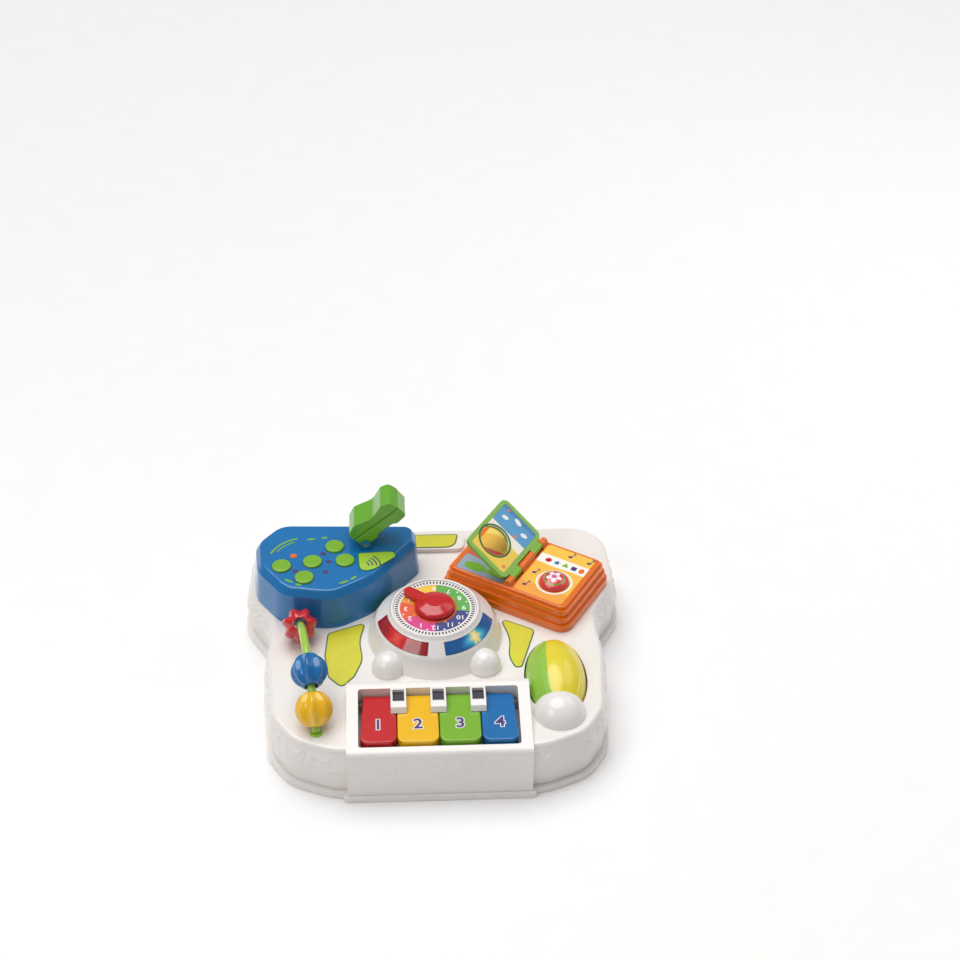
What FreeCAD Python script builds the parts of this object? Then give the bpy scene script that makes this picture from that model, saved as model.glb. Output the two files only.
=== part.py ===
"""Musical activity table: a table top for a baby with keys, dial, phone, book, roller and bead arch.

Millimetres, +Z up, origin on the floor under the middle of the dial, -Y towards the keyboard side.
"""
import FreeCAD, Part
import Sketcher
import math
import os
from types import SimpleNamespace

Vector = FreeCAD.Vector

# The driving sizes. Each one is a cell of the sheet, under its own alias.
SIZES = {
    # case
    "half_width": 200.0, "half_depth": 178.0, "deck_top": 60.0, "lip_height": 7.0, "lip_reach": 5.0,
    "band_low": 34.0, "band_reach": 1.5, "deck_inset": 8.0, "case_wall": 2.6, "deck_edge_round": 4.0,
    "screw_boss_r": 4.5, "screw_r": 1.5, "screw_head_r": 3.2, "screw_head": 1.2, "screw_seat": 1.4,
    "screw_grip": 9.0, "screw_ease": 0.2, "recess_ease": 0.4,
    "leg_bore_r": 16.0, "leg_bore_depth": 18.0, "leg_wall": 3.0,
    "leg_front_inset": 62.0, "leg_front_y": 118.0, "leg_back_inset": 44.0, "leg_back_y": 122.0,
    # keyboard
    "board_half_width": 91.0, "board_lip_half": 96.0, "board_front": 173.5, "ridge_y": 90.0,
    "ridge_rise": 15.0, "ridge_back": 85.0, "key_top_rise": 6.0, "key_thick": 10.0, "key_front": 162.0,
    "key_back": 97.0, "well_gap": 2.0, "key_gap": 0.8, "key_wall": 2.0, "key_round": 3.0,
    "keys_half_width": 78.5, "key_inner_width": 41.5, "key_rod_r": 2.5, "key_rod_y": 92.0,
    "key_rod_z": 51.0, "running_gap": 0.05, "carrier_z": 40.0, "carrier_thick": 3.0, "ear_thick": 3.0,
    "ear_gap": 1.0, "lug_gap": 1.2, "dome_r": 5.0, "black_width": 15.5, "black_length": 28.0,
    "black_rise": 14.0,
    "black_gap": 0.7, "black_wall": 2.0, "black_key_length": 16.0,
    # dial
    "housing_r": 70.0, "rim_r": 45.0, "rim_rise": 37.0, "rim_wall": 2.2, "housing_wall": 2.6,
    "face_drop": 2.8, "face_thick": 1.0, "face_r": 36.0, "tick_thick": 1.4, "ring_gap": 0.3, "hub_r": 4.0,
    "knob_r": 20.5, "knob_rise": 9.0, "knob_gap": 0.5, "pointer_length": 39.0, "pointer_turn": 140.0,
    "pointer_width": 15.0, "shaft_length": 26.0, "window_low_r": 59.0, "window_high_r": 49.0,
    "window_start": 9.0, "window_end": 85.0, "window_gap": 0.4, "knee_r": 61.0, "knee_rise": 20.5,
    "shoulder_r": 47.3, "shoulder_rise": 33.5, "neighbour_gap": 0.8, "ball_r": 17.0, "ball_x": 49.0,
    "ball_y": 51.0,
    # phone
    "phone_rise": 45.0, "phone_shoulder": 37.0, "phone_side_lean": 3.0, "phone_top_inset": 8.0,
    "phone_wall": 2.4, "phone_round": 3.0, "button_r": 10.0, "button_rise": 2.5, "button_travel": 2.0,
    "button_gap": 0.35, "button_flange": 1.5, "mat_thick": 1.5, "mat_drop": 8.0, "mat_clear": 2.35,
    "handset_x": -70.0, "handset_y": 105.0,
    "handset_pin_rise": 5.0, "handset_width": 34.0, "handset_length": 56.0, "handset_thick": 30.0,
    "handset_seam": 12.0, "handset_raise": 42.0, "handset_pin_r": 2.0, "ear_side_gap": 0.6,
    "handset_under": 3.5, "handset_ear": 3.4, "handset_round": 3.0,
    # book
    "book_x": 99.0, "book_y": 76.0, "book_turn": -32.0, "book_half_width": 76.0, "book_half_length": 52.0,
    "book_rise": 28.0, "book_step_rise": 8.0, "book_step_in": 2.6, "book_corner": 14.0, "book_wall": 2.4,
    "page_half_width": 63.0, "page_half_length": 41.5, "panel_thick": 1.0, "spine_r": 5.0,
    "spine_rise": 2.6, "page_length": 63.0, "page_half": 42.0, "page_thick": 4.0, "page_lift": 36.0,
    "page_pin_r": 1.75, "knuckle_r": 4.0, "knuckle_length": 17.0, "knuckle_cut": 1.8, "button_x": 40.0,
    "button_y": -12.5,
    "red_button_r": 15.5, "red_button_rise": 8.5,
    "page_ring_gap": 2.0, "page_border": 5.0,
    # roller
    "roller_x": 120.0, "roller_y": -71.0, "roller_drop": 7.0, "roller_half": 56.0, "roller_r": 31.0,
    "roller_back": 53.0, "roller_front": 45.0, "axle_r": 2.5, "cup_gap": 1.2, "cup_wall": 2.0,
    "cup_end": 3.5,
    "roller_wall": 2.5,
    "cap_y": 49.0, "cap_rim": 39.0, "cap_r": 27.5, "cap_wall": 2.0,
    # bead arch
    "arch_r": 85.0, "arch_x": -130.5, "arch_y": -66.0, "arch_turn": 7.7, "arch_foot": 62.0,
    "arch_half_span": 75.0, "rod_r": 4.25, "foot_r": 6.5, "foot_rise": 1.5, "bead_r": 18.5,
    "bead_bore_r": 6.5,
    "bead_rest": 47.0,
    "bead_pitch": 26.0,
    # labels
    "label_thick": 0.5, "boss_rise": 5.0,
    # inside
    "board_thick": 1.6, "board_width": 104.0, "board_length": 70.0, "board_z": 36.0, "post_r": 4.0,
    "battery_r": 7.0, "battery_length": 50.0, "battery_pitch": 15.5, "battery_y": 112.0,
    "bay_wall": 2.0, "bay_head_room": 4.0, "bay_spare": 6.0, "door_thick": 2.2, "door_gap": 0.4,
    "door_screw_in": 5.0, "speaker_r": 22.0, "speaker_x": -100.0, "speaker_y": -95.0, "lamp_r": 3.0,
    "lamp_x": 36.0, "lamp_y": 26.0, "lamp_height": 22.0,
}

doc = FreeCAD.newDocument("activity_table")
sheet = doc.addObject("Spreadsheet::Sheet", "Sizes")
for row, (alias, value) in enumerate(SIZES.items(), start=1):
    sheet.set(f"A{row}", alias)
    sheet.set(f"B{row}", str(value))
    sheet.setAlias(f"B{row}", alias)
doc.recompute()
v = SimpleNamespace(**{alias: float(sheet.get(alias)) for alias in SIZES})

nodes = []


def bind(obj, **formulas):
    """Ties properties of an object to formulas over the sheet's aliases."""
    for prop, formula in formulas.items():
        obj.setExpression(prop.replace("__", "."), formula)


def new_body(name):
    """A sub-part's body, listed for writing under its own name."""
    body = doc.addObject("PartDesign::Body", name)
    body.Label = name
    nodes.append(body)
    return body


def place(obj, x="0", y="0", z="0"):
    """Ties an object's place to three formulas."""
    bind(obj, Placement__Base__x=x, Placement__Base__y=y, Placement__Base__z=z)


def new_sketch(body, plane="XY_Plane", height=None, turn=None):
    """A sketch on one of the body's own planes, lifted along its normal or turned about the up axis."""
    sketch = body.newObject("Sketcher::SketchObject", body.Name + "_sketch")
    support = [f for f in body.Origin.OriginFeatures if f.Role == plane][0]
    sketch.AttachmentSupport = [(support, "")]
    sketch.MapMode = "FlatFace"
    if turn is not None:
        sketch.AttachmentOffset = FreeCAD.Placement(Vector(), FreeCAD.Rotation(Vector(0, 1, 0), turn))
    if height is not None:
        sketch.setExpression("AttachmentOffset.Base.z", height)
    return sketch


def moved_side(start, end, inset):
    """A side of an outline moved inwards, to its left."""
    along = (end - start).normalize()
    normal = Vector(-along.y, along.x, 0)
    return start + normal * inset, along


def inset_corners(corners, inset):
    """The corners (x, y, radius) of a counter-clockwise outline after every side moves inwards."""
    if inset == 0:
        return list(corners)
    points = [Vector(x, y, 0) for x, y, _ in corners]
    result = []
    for i, (_, _, radius) in enumerate(corners):
        before, here, after = points[i - 1], points[i], points[(i + 1) % len(points)]
        p, u = moved_side(before, here, inset)
        q, w = moved_side(here, after, inset)
        cross = u.x * w.y - u.y * w.x
        reach = ((q.x - p.x) * w.y - (q.y - p.y) * w.x) / cross
        meet = p + u * reach
        rounding = radius - inset if cross > 0 else radius + inset
        result.append((meet.x, meet.y, max(rounding, 0.4)))
    return result


def add_outline(sketch, corners, inset=0.0):
    """Draws a closed outline with a rounded corner at each (x, y, radius)."""
    corners = inset_corners(corners, inset)
    points = [Vector(x, y, 0) for x, y, _ in corners]
    starts, ends, arcs = [], [], []
    for i, (_, _, radius) in enumerate(corners):
        here = points[i]
        back = (points[i - 1] - here).normalize()
        ahead = (points[(i + 1) % len(points)] - here).normalize()
        half = back.getAngle(ahead) / 2
        reach = radius / math.tan(half)
        centre = here + (back + ahead).normalize() * (radius / math.sin(half))
        first, last = here + back * reach, here + ahead * reach
        angles = [math.atan2(p.y - centre.y, p.x - centre.x) for p in (first, last)]
        if back.x * ahead.y - back.y * ahead.x > 0:
            angles.reverse()
        circle = Part.Circle(centre, Vector(0, 0, 1), radius)
        arcs.append(Part.ArcOfCircle(circle, angles[0], angles[1]))
        starts.append(first)
        ends.append(last)
    for i, arc in enumerate(arcs):
        sketch.addGeometry(arc, False)
        sketch.addGeometry(Part.LineSegment(ends[i], starts[(i + 1) % len(arcs)]), False)


def add_polygon(sketch, points):
    """Draws a closed outline of straight sides."""
    corners = [Vector(x, y, 0) for x, y in points]
    for i, corner in enumerate(corners):
        sketch.addGeometry(Part.LineSegment(corner, corners[(i + 1) % len(corners)]), False)


def add_circle(sketch, x, y, radius, formula=None):
    """Draws a circle, its radius tied to a formula if one is given."""
    index = sketch.addGeometry(Part.Circle(Vector(x, y, 0), Vector(0, 0, 1), radius), False)
    constraint = sketch.addConstraint(Sketcher.Constraint("Radius", index, radius))
    if formula:
        sketch.setExpression(f"Constraints[{constraint}]", formula)


def rectangle(x0, y0, x1, y1, radius=0.5):
    """Corners of a rectangle with rounded corners, counter-clockwise."""
    return [(x0, y0, radius), (x1, y0, radius), (x1, y1, radius), (x0, y1, radius)]


def settle(feature):
    """Works the document out again and stops if the feature failed."""
    doc.recompute()
    if "Invalid" in feature.State or "Error" in feature.State:
        raise ValueError(f"{feature.Name}: {feature.getStatusString()}")
    return feature


def add_pad(body, sketch, length, middle=False, taper=None):
    """Raises a sketch by a length given as a formula, drawn in by a taper if one is given."""
    pad = body.newObject("PartDesign::Pad", body.Name + "_pad")
    pad.Profile = sketch
    pad.Midplane = middle
    bind(pad, Length=length)
    if taper:
        bind(pad, TaperAngle=taper)
    return settle(pad)


def add_pocket(body, sketch, length, upwards=False, middle=False, taper=None):
    """Cuts a sketch out of the body, downwards unless told otherwise, and checks that it cut."""
    before = body.Shape.Volume
    pocket = body.newObject("PartDesign::Pocket", body.Name + "_pocket")
    pocket.Profile = sketch
    pocket.Reversed = upwards
    pocket.Midplane = middle
    bind(pocket, Length=length)
    if taper:
        bind(pocket, TaperAngle=taper)
    settle(pocket)
    if body.Shape.Volume > before - 0.5:
        raise ValueError(f"{pocket.Name} cut nothing")
    return pocket


def add_loft(body, lower, upper, subtract=False):
    """Joins two outlines with straight walls, as a solid or as a hollow."""
    kind = "PartDesign::SubtractiveLoft" if subtract else "PartDesign::AdditiveLoft"
    loft = body.newObject(kind, body.Name + "_loft")
    loft.Profile = lower
    loft.Sections = [upper]
    loft.Ruled = True
    return settle(loft)


def add_turned(body, sketch, angle=360.0, subtract=False):
    """Turns a profile about the sketch's upright axis, half the angle to each side."""
    kind = "PartDesign::Groove" if subtract else "PartDesign::Revolution"
    before = body.Shape.Volume if subtract else 0
    turned = body.newObject(kind, body.Name + "_turned")
    turned.Profile = sketch
    turned.ReferenceAxis = (sketch, ["V_Axis"])
    turned.Midplane = True
    turned.Angle = angle
    settle(turned)
    if subtract and body.Shape.Volume > before - 0.5:
        raise ValueError(f"{turned.Name} cut nothing")
    return turned


def add_fillet(body, chosen, radius):
    """Rounds the edges of the body's last shape for which chosen(edge) is true."""
    base = body.Tip
    names = [f"Edge{i}" for i, edge in enumerate(base.Shape.Edges, start=1) if chosen(edge)]
    fillet = body.newObject("PartDesign::Fillet", body.Name + "_fillet")
    fillet.Base = (base, names)
    bind(fillet, Radius=radius)
    return settle(fillet)


def level(z):
    """A test for edges that lie flat at one height."""
    return lambda edge: abs(edge.BoundBox.ZMin - z) < 0.01 and abs(edge.BoundBox.ZMax - z) < 0.01


def oval(extra):
    """Radius of the roller's oval at a place along its axis, grown by a gap or a wall."""
    half, radius = v.roller_half + extra, v.roller_r + extra
    return lambda y: radius * math.sqrt(max(0.01, 1 - (y / half) ** 2))


def roller_opening(y):
    """Half width of the deck's opening for the roller, at the deck's underside."""
    return math.sqrt(max(1.0, oval(v.cup_gap)(y) ** 2 - (v.roller_drop - v.case_wall) ** 2))


def half_curve(outline, low, high, side=1, offset=Vector()):
    """A smooth curve through an oval's side, from its low end to its high end."""
    steps = 9
    spots = [low + (high - low) * i / (steps - 1) for i in range(steps)]
    curve = Part.BSplineCurve()
    curve.interpolate([offset + Vector(side * outline(y), y, 0) for y in spots])
    return curve


def add_half_curve(sketch, outline, low, high):
    """Draws an oval's right-hand side."""
    sketch.addGeometry(half_curve(outline, low, high), False)


def add_chain(sketch, points):
    """Draws straight lines from point to point."""
    for start, end in zip(points, points[1:]):
        sketch.addGeometry(Part.LineSegment(Vector(*start, 0), Vector(*end, 0)), False)


def add_oval_loop(sketch, outline, low, high, offset=Vector()):
    """Draws both sides of an oval, closed by straight ends."""
    for side in (1, -1):
        sketch.addGeometry(half_curve(outline, low, high, side, offset), False)
    for y in (low, high):
        reach = outline(y)
        add_chain(sketch, [(offset.x - reach, offset.y + y), (offset.x + reach, offset.y + y)])


def new_group(name, members):
    """Separate like pieces under one name."""
    group = doc.addObject("Part::Compound", name)
    group.Label = name
    group.Links = members
    nodes.append(group)
    return group


def new_feature(name, shape):
    """A sub-part whose shape is worked out directly."""
    feature = doc.addObject("Part::Feature", name)
    feature.Label = name
    feature.Shape = shape
    nodes.append(feature)
    return feature


def mirrored(half):
    """Closes a right-hand half outline, listed front to back, with its mirror image."""
    return half + [(-x, y, radius) for x, y, radius in reversed(half)]


# The table's outline in plan: four lobes, a pinch at each side, a straight back.
case_outline = mirrored([
    (v.half_width - 95, -v.half_depth + 6, 60), (v.half_width - 50, -v.half_depth + 25.5, 45),
    (v.half_width - 28.5, -v.half_depth + 60.5, 45), (v.half_width - 21.5, -30, 110),
    (v.half_width - 26, 26, 40), (v.half_width + 2, 76.6, 60), (v.half_width - 5, v.half_depth, 48)])
deck_under = v.deck_top - v.case_wall
board_lip = rectangle(-v.board_lip_half, -v.half_depth, v.board_lip_half, -v.half_depth + 60, 6)
key_well = (-v.keys_half_width - v.well_gap / 2, -v.key_front - v.well_gap,
            v.keys_half_width + v.well_gap / 2, -v.key_back + v.well_gap)
screw_places = [(s * x, y) for s in (-1, 1) for x, y in ((96, -145), (150, 20), (110, 152))]
leg_places = [(s * x, y) for s in (-1, 1)
              for x, y in ((v.half_width - v.leg_front_inset, -v.leg_front_y),
                           (v.half_width - v.leg_back_inset, v.leg_back_y))]
board_posts = [(s * (v.board_width / 2 - 5), v.board_length / 2 - 5 - p * (v.board_length - 10))
               for s in (-1, 1) for p in (0, 1)]
carrier_posts = [(s * 70, y) for s in (-1, 1) for y in (-155, -100)]
bay_half = v.battery_pitch * 1.5 + 2
bay_length = v.battery_length / 2 + v.bay_spare
door_screw_y = v.battery_y + bay_length - v.door_screw_in


def make_base_plate():
    """Lower shell: floor, lip all round, leg sockets, posts and the battery bay."""
    body = new_body("base_plate")
    sketch = new_sketch(body)
    add_outline(sketch, case_outline)
    add_pad(body, sketch, "Sizes.lip_height")
    sketch = new_sketch(body)
    add_outline(sketch, board_lip)
    add_pad(body, sketch, "Sizes.lip_height")
    sketch = new_sketch(body, height="Sizes.lip_height")
    add_outline(sketch, case_outline, v.lip_reach + v.case_wall)
    add_pocket(body, sketch, "Sizes.lip_height - Sizes.case_wall")
    sketch = new_sketch(body, height="Sizes.lip_height")
    wall = v.board_lip_half - v.board_half_width + v.case_wall
    add_outline(sketch, rectangle(-v.board_lip_half + wall, -v.half_depth + wall,
                                  v.board_lip_half - wall, -v.half_depth + 60, 2))
    add_pocket(body, sketch, "Sizes.lip_height - Sizes.case_wall")
    for x, y in leg_places:
        sketch = new_sketch(body)
        add_circle(sketch, x, y, v.leg_bore_r + v.leg_wall, "Sizes.leg_bore_r + Sizes.leg_wall")
        add_pad(body, sketch, "Sizes.leg_bore_depth + Sizes.case_wall")
    for places, top in ((board_posts, "Sizes.board_z"), (carrier_posts, "Sizes.carrier_z")):
        sketch = new_sketch(body)
        for x, y in places:
            add_circle(sketch, x, y, v.post_r, "Sizes.post_r")
        add_pad(body, sketch, top)
    sketch = new_sketch(body)
    add_outline(sketch, rectangle(-bay_half - v.bay_wall, v.battery_y - bay_length - v.bay_wall,
                                  bay_half + v.bay_wall, v.battery_y + bay_length + v.bay_wall, 3))
    add_pad(body, sketch, "2 * Sizes.battery_r + Sizes.bay_head_room + Sizes.bay_wall")
    for x, y in leg_places:
        sketch = new_sketch(body)
        add_circle(sketch, x, y, v.leg_bore_r, "Sizes.leg_bore_r")
        add_pocket(body, sketch, "Sizes.leg_bore_depth", upwards=True)
    sketch = new_sketch(body)
    add_outline(sketch, rectangle(-bay_half, v.battery_y - bay_length, bay_half, v.battery_y + bay_length, 2))
    add_pocket(body, sketch, "2 * Sizes.battery_r + Sizes.bay_head_room", upwards=True)
    sketch = new_sketch(body, height="Sizes.door_thick + Sizes.door_gap")
    add_circle(sketch, 0, door_screw_y, v.post_r, "Sizes.post_r")
    add_pad(body, sketch, "2 * Sizes.battery_r + Sizes.bay_head_room - Sizes.door_thick")
    sketch = new_sketch(body, height="Sizes.door_thick + Sizes.door_gap")
    add_circle(sketch, 0, door_screw_y, v.screw_r, "Sizes.screw_r")
    add_pocket(body, sketch, "Sizes.screw_grip", upwards=True)
    add_screw_holes(body, screw_places, "Sizes.lip_height")


def add_screw_holes(body, places, through):
    """Cuts a clear hole and a recess for the head, from below, at each screw's place."""
    for radius, formula, depth in ((v.screw_r + v.screw_ease, "Sizes.screw_r + Sizes.screw_ease", through),
                                   (v.screw_head_r + v.recess_ease, "Sizes.screw_head_r + Sizes.recess_ease",
                                    "Sizes.screw_seat")):
        sketch = new_sketch(body)
        for x, y in places:
            add_circle(sketch, x, y, radius, formula)
        add_pocket(body, sketch, depth, upwards=True)


def make_top_shell():
    """Upper shell: recessed wall, band, deck, keyboard block with its key well, and screw bosses."""
    body = new_body("top_shell")
    lean = "-atan((Sizes.deck_inset - Sizes.band_reach) / (Sizes.deck_top - Sizes.band_low))"
    sketch = new_sketch(body, height="Sizes.band_low")
    add_outline(sketch, case_outline, v.band_reach)
    add_pad(body, sketch, "Sizes.deck_top - Sizes.band_low", taper=lean)
    add_fillet(body, level(v.deck_top), "Sizes.deck_edge_round")
    sketch = new_sketch(body, height="Sizes.lip_height")
    add_outline(sketch, case_outline, v.lip_reach)
    add_pad(body, sketch, "Sizes.band_low - Sizes.lip_height")
    profile = new_sketch(body, "YZ_Plane")
    front, top = -v.board_front, v.deck_top
    ridge = top + v.ridge_rise
    add_outline(profile, [(front - 2, v.lip_height, 0.4), (-v.ridge_back + 14, v.lip_height, 0.4),
                          (-v.ridge_back + 14, top - 2, 0.4), (-v.ridge_back, top - 2, 0.4),
                          (-v.ridge_back, ridge, 2.5), (-v.ridge_y, ridge, 2.5), (front, top, 6)])
    add_pad(body, profile, "2 * Sizes.board_half_width", middle=True)
    sketch = new_sketch(body, height="Sizes.deck_top - 2")
    add_outline(sketch, [(-35, 131.5, 8), (35, 131.5, 8), (37, 158, 6), (-37, 158, 6)])
    add_pad(body, sketch, "Sizes.boss_rise + 2")
    sketch = new_sketch(body, height="Sizes.lip_height")
    add_outline(sketch, case_outline, v.lip_reach + v.case_wall)
    add_pocket(body, sketch, "Sizes.band_low + Sizes.case_wall - Sizes.lip_height", upwards=True)
    sketch = new_sketch(body, height="Sizes.band_low + Sizes.case_wall")
    add_outline(sketch, case_outline, v.band_reach + v.case_wall)
    add_pocket(body, sketch, "Sizes.deck_top - Sizes.band_low - 2 * Sizes.case_wall", upwards=True, taper=lean)
    profile = new_sketch(body, "YZ_Plane")
    wall = v.case_wall
    add_outline(profile, [(front - 2 + wall, v.lip_height, 0.4), (-v.ridge_back + 12, v.lip_height, 0.4),
                          (-v.ridge_back + 12, deck_under - 2, 0.4), (-v.ridge_y - 3, deck_under, 0.4),
                          (front + wall, top - 4, 3)])
    add_pocket(body, profile, "2 * (Sizes.board_half_width - Sizes.case_wall)", middle=True)
    sketch = new_sketch(body, height="Sizes.deck_top + 2 * Sizes.ridge_rise")
    add_outline(sketch, rectangle(*key_well, 3))
    add_pocket(body, sketch, "4 * Sizes.ridge_rise")
    sketch = new_sketch(body, height="Sizes.deck_top + 1")
    add_oval_loop(sketch, roller_opening, -v.roller_front - v.cup_gap, v.roller_back + v.cup_gap,
                  Vector(v.roller_x, v.roller_y, 0))
    add_pocket(body, sketch, "Sizes.case_wall + 2")
    sketch = new_sketch(body, height="Sizes.deck_top + 1")
    add_circle(sketch, 0, 0, v.housing_r - 12, "Sizes.housing_r - 12")
    add_pocket(body, sketch, "Sizes.case_wall + 2")
    sketch = new_sketch(body, height="Sizes.case_wall")
    for x, y in screw_places:
        add_circle(sketch, x, y, v.screw_boss_r, "Sizes.screw_boss_r")
    add_pad(body, sketch, "Sizes.deck_top - 2 * Sizes.case_wall + 0.6")
    sketch = new_sketch(body, height="Sizes.case_wall")
    for x, y in screw_places:
        add_circle(sketch, x, y, v.screw_r, "Sizes.screw_r")
    add_pocket(body, sketch, "Sizes.screw_grip", upwards=True)


def make_inside():
    """Battery door and screw, batteries, case screws, circuit board, speaker and lamps."""
    body = new_body("battery_door")
    sketch = new_sketch(body)
    gap = v.door_gap
    add_outline(sketch, rectangle(-bay_half + gap, v.battery_y - bay_length + gap,
                                  bay_half - gap, v.battery_y + bay_length - gap, 2))
    add_pad(body, sketch, "Sizes.door_thick")
    add_screw_holes(body, [(0, door_screw_y)], "Sizes.door_thick")
    new_feature("door_screw", screw_shape(0, door_screw_y))
    cells = []
    for i in (-1, 0, 1):
        cell = doc.addObject("Part::Cylinder", f"cell_{i + 2}")
        bind(cell, Radius="Sizes.battery_r", Height="Sizes.battery_length")
        cell.Placement = FreeCAD.Placement(Vector(), FreeCAD.Rotation(Vector(1, 0, 0), -90))
        place(cell, f"{i} * Sizes.battery_pitch",
              "Sizes.battery_y - Sizes.battery_length / 2 - Sizes.bay_spare + Sizes.bay_wall",
              "(Sizes.door_thick + 2 * Sizes.battery_r + Sizes.bay_head_room) / 2")
        cells.append(cell)
    new_group("batteries", cells)
    screws = [screw_shape(x, y) for x, y in screw_places]
    new_feature("case_screws", Part.makeCompound(screws))
    body = new_body("circuit_board")
    sketch = new_sketch(body, height="Sizes.board_z")
    half_x, half_y = v.board_width / 2, v.board_length / 2
    add_outline(sketch, rectangle(-half_x, -half_y, half_x, half_y, 3))
    add_pad(body, sketch, "Sizes.board_thick")
    body = new_body("speaker")
    place(body, "Sizes.speaker_x", "Sizes.speaker_y", "Sizes.case_wall")
    sketch = new_sketch(body, "XZ_Plane")
    add_polygon(sketch, [(0, 0), (v.speaker_r, 0), (v.speaker_r, 2), (v.speaker_r - 3, 4), (11, 13),
                         (11, 20), (0, 20)])
    add_turned(body, sketch)
    lamps = []
    for side in (-1, 1):
        lamp = doc.addObject("Part::Cylinder", "lamp_left" if side < 0 else "lamp_right")
        bind(lamp, Radius="Sizes.lamp_r", Height="Sizes.lamp_height")
        place(lamp, f"{side} * Sizes.lamp_x", "-Sizes.lamp_y", "Sizes.board_z + Sizes.board_thick")
        lamps.append(lamp)
    new_group("lamps", lamps)


def screw_shape(x, y):
    """A screw that points up: a slotted head in its recess and a shank into the boss above."""
    low = v.screw_seat - v.screw_head
    head = Part.makeCylinder(v.screw_head_r, v.screw_head, Vector(x, y, low))
    slot_half = v.screw_head / 3
    slot = Part.makeBox(2 * v.screw_head_r, 2 * slot_half, v.screw_head / 2,
                        Vector(x - v.screw_head_r, y - slot_half, low))
    stem = Part.makeCylinder(v.screw_r, v.screw_grip, Vector(x, y, v.screw_seat))
    return head.cut(slot).fuse(stem)


def make_keyboard():
    """Carrier with its ears, pivot rod, four keys, their rubber domes, and the three black keys."""
    width = v.key_inner_width
    edges = [-v.keys_half_width, -width, 0.0, width, v.keys_half_width]
    body = new_body("key_carrier")
    sketch = new_sketch(body, height="Sizes.carrier_z")
    half = v.keys_half_width + 4
    add_outline(sketch, rectangle(-half, -v.key_front, half, -v.key_rod_y + 8, 3))
    add_pad(body, sketch, "Sizes.carrier_thick")
    profile = new_sketch(body, "YZ_Plane")
    add_outline(profile, [(-v.key_rod_y - 5, v.carrier_z + 1, 0.5), (-v.key_rod_y + 5, v.carrier_z + 1, 0.5),
                          (-v.key_rod_y + 5, v.key_rod_z + 4.4, 4.3), (-v.key_rod_y - 5, v.key_rod_z + 4.4, 4.3)])
    add_pad(body, profile, "2 * (Sizes.keys_half_width + 3)", middle=True)
    sketch = new_sketch(body, height="Sizes.key_rod_z + 10")
    ear = v.ear_thick / 2
    for left, right in zip(edges, edges[1:]):
        x0 = left + ear + (1.5 if left == edges[0] else 0)
        x1 = right - ear - (1.5 if right == edges[-1] else 0)
        add_outline(sketch, rectangle(x0, -v.key_rod_y - 7, x1, -v.key_rod_y + 7))
    add_pocket(body, sketch, "Sizes.key_rod_z + 10 - Sizes.carrier_z - Sizes.carrier_thick")
    profile = new_sketch(body, "YZ_Plane")
    add_circle(profile, -v.key_rod_y, v.key_rod_z, v.key_rod_r, "Sizes.key_rod_r")
    add_pocket(body, profile, "2 * (Sizes.keys_half_width + 6)", middle=True)

    rod = doc.addObject("Part::Cylinder", "key_rod")
    rod.Label = "key_rod"
    bind(rod, Radius="Sizes.key_rod_r", Height="2 * (Sizes.keys_half_width + 3)")
    rod.Placement = FreeCAD.Placement(Vector(), FreeCAD.Rotation(Vector(0, 1, 0), 90))
    place(rod, "-Sizes.keys_half_width - 3", "-Sizes.key_rod_y", "Sizes.key_rod_z")
    nodes.append(rod)

    for colour, left, right in zip(("red", "yellow", "green", "blue"), edges, edges[1:]):
        make_key(colour, left, right)
    frames, caps = [], []
    for x in (-width + 2, 0, width - 2):
        frames.append(black_frame(x))
        caps.append(black_cap(x))
    new_feature("black_key_frames", Part.makeCompound(frames))
    new_feature("black_keys", Part.makeCompound(caps))


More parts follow.
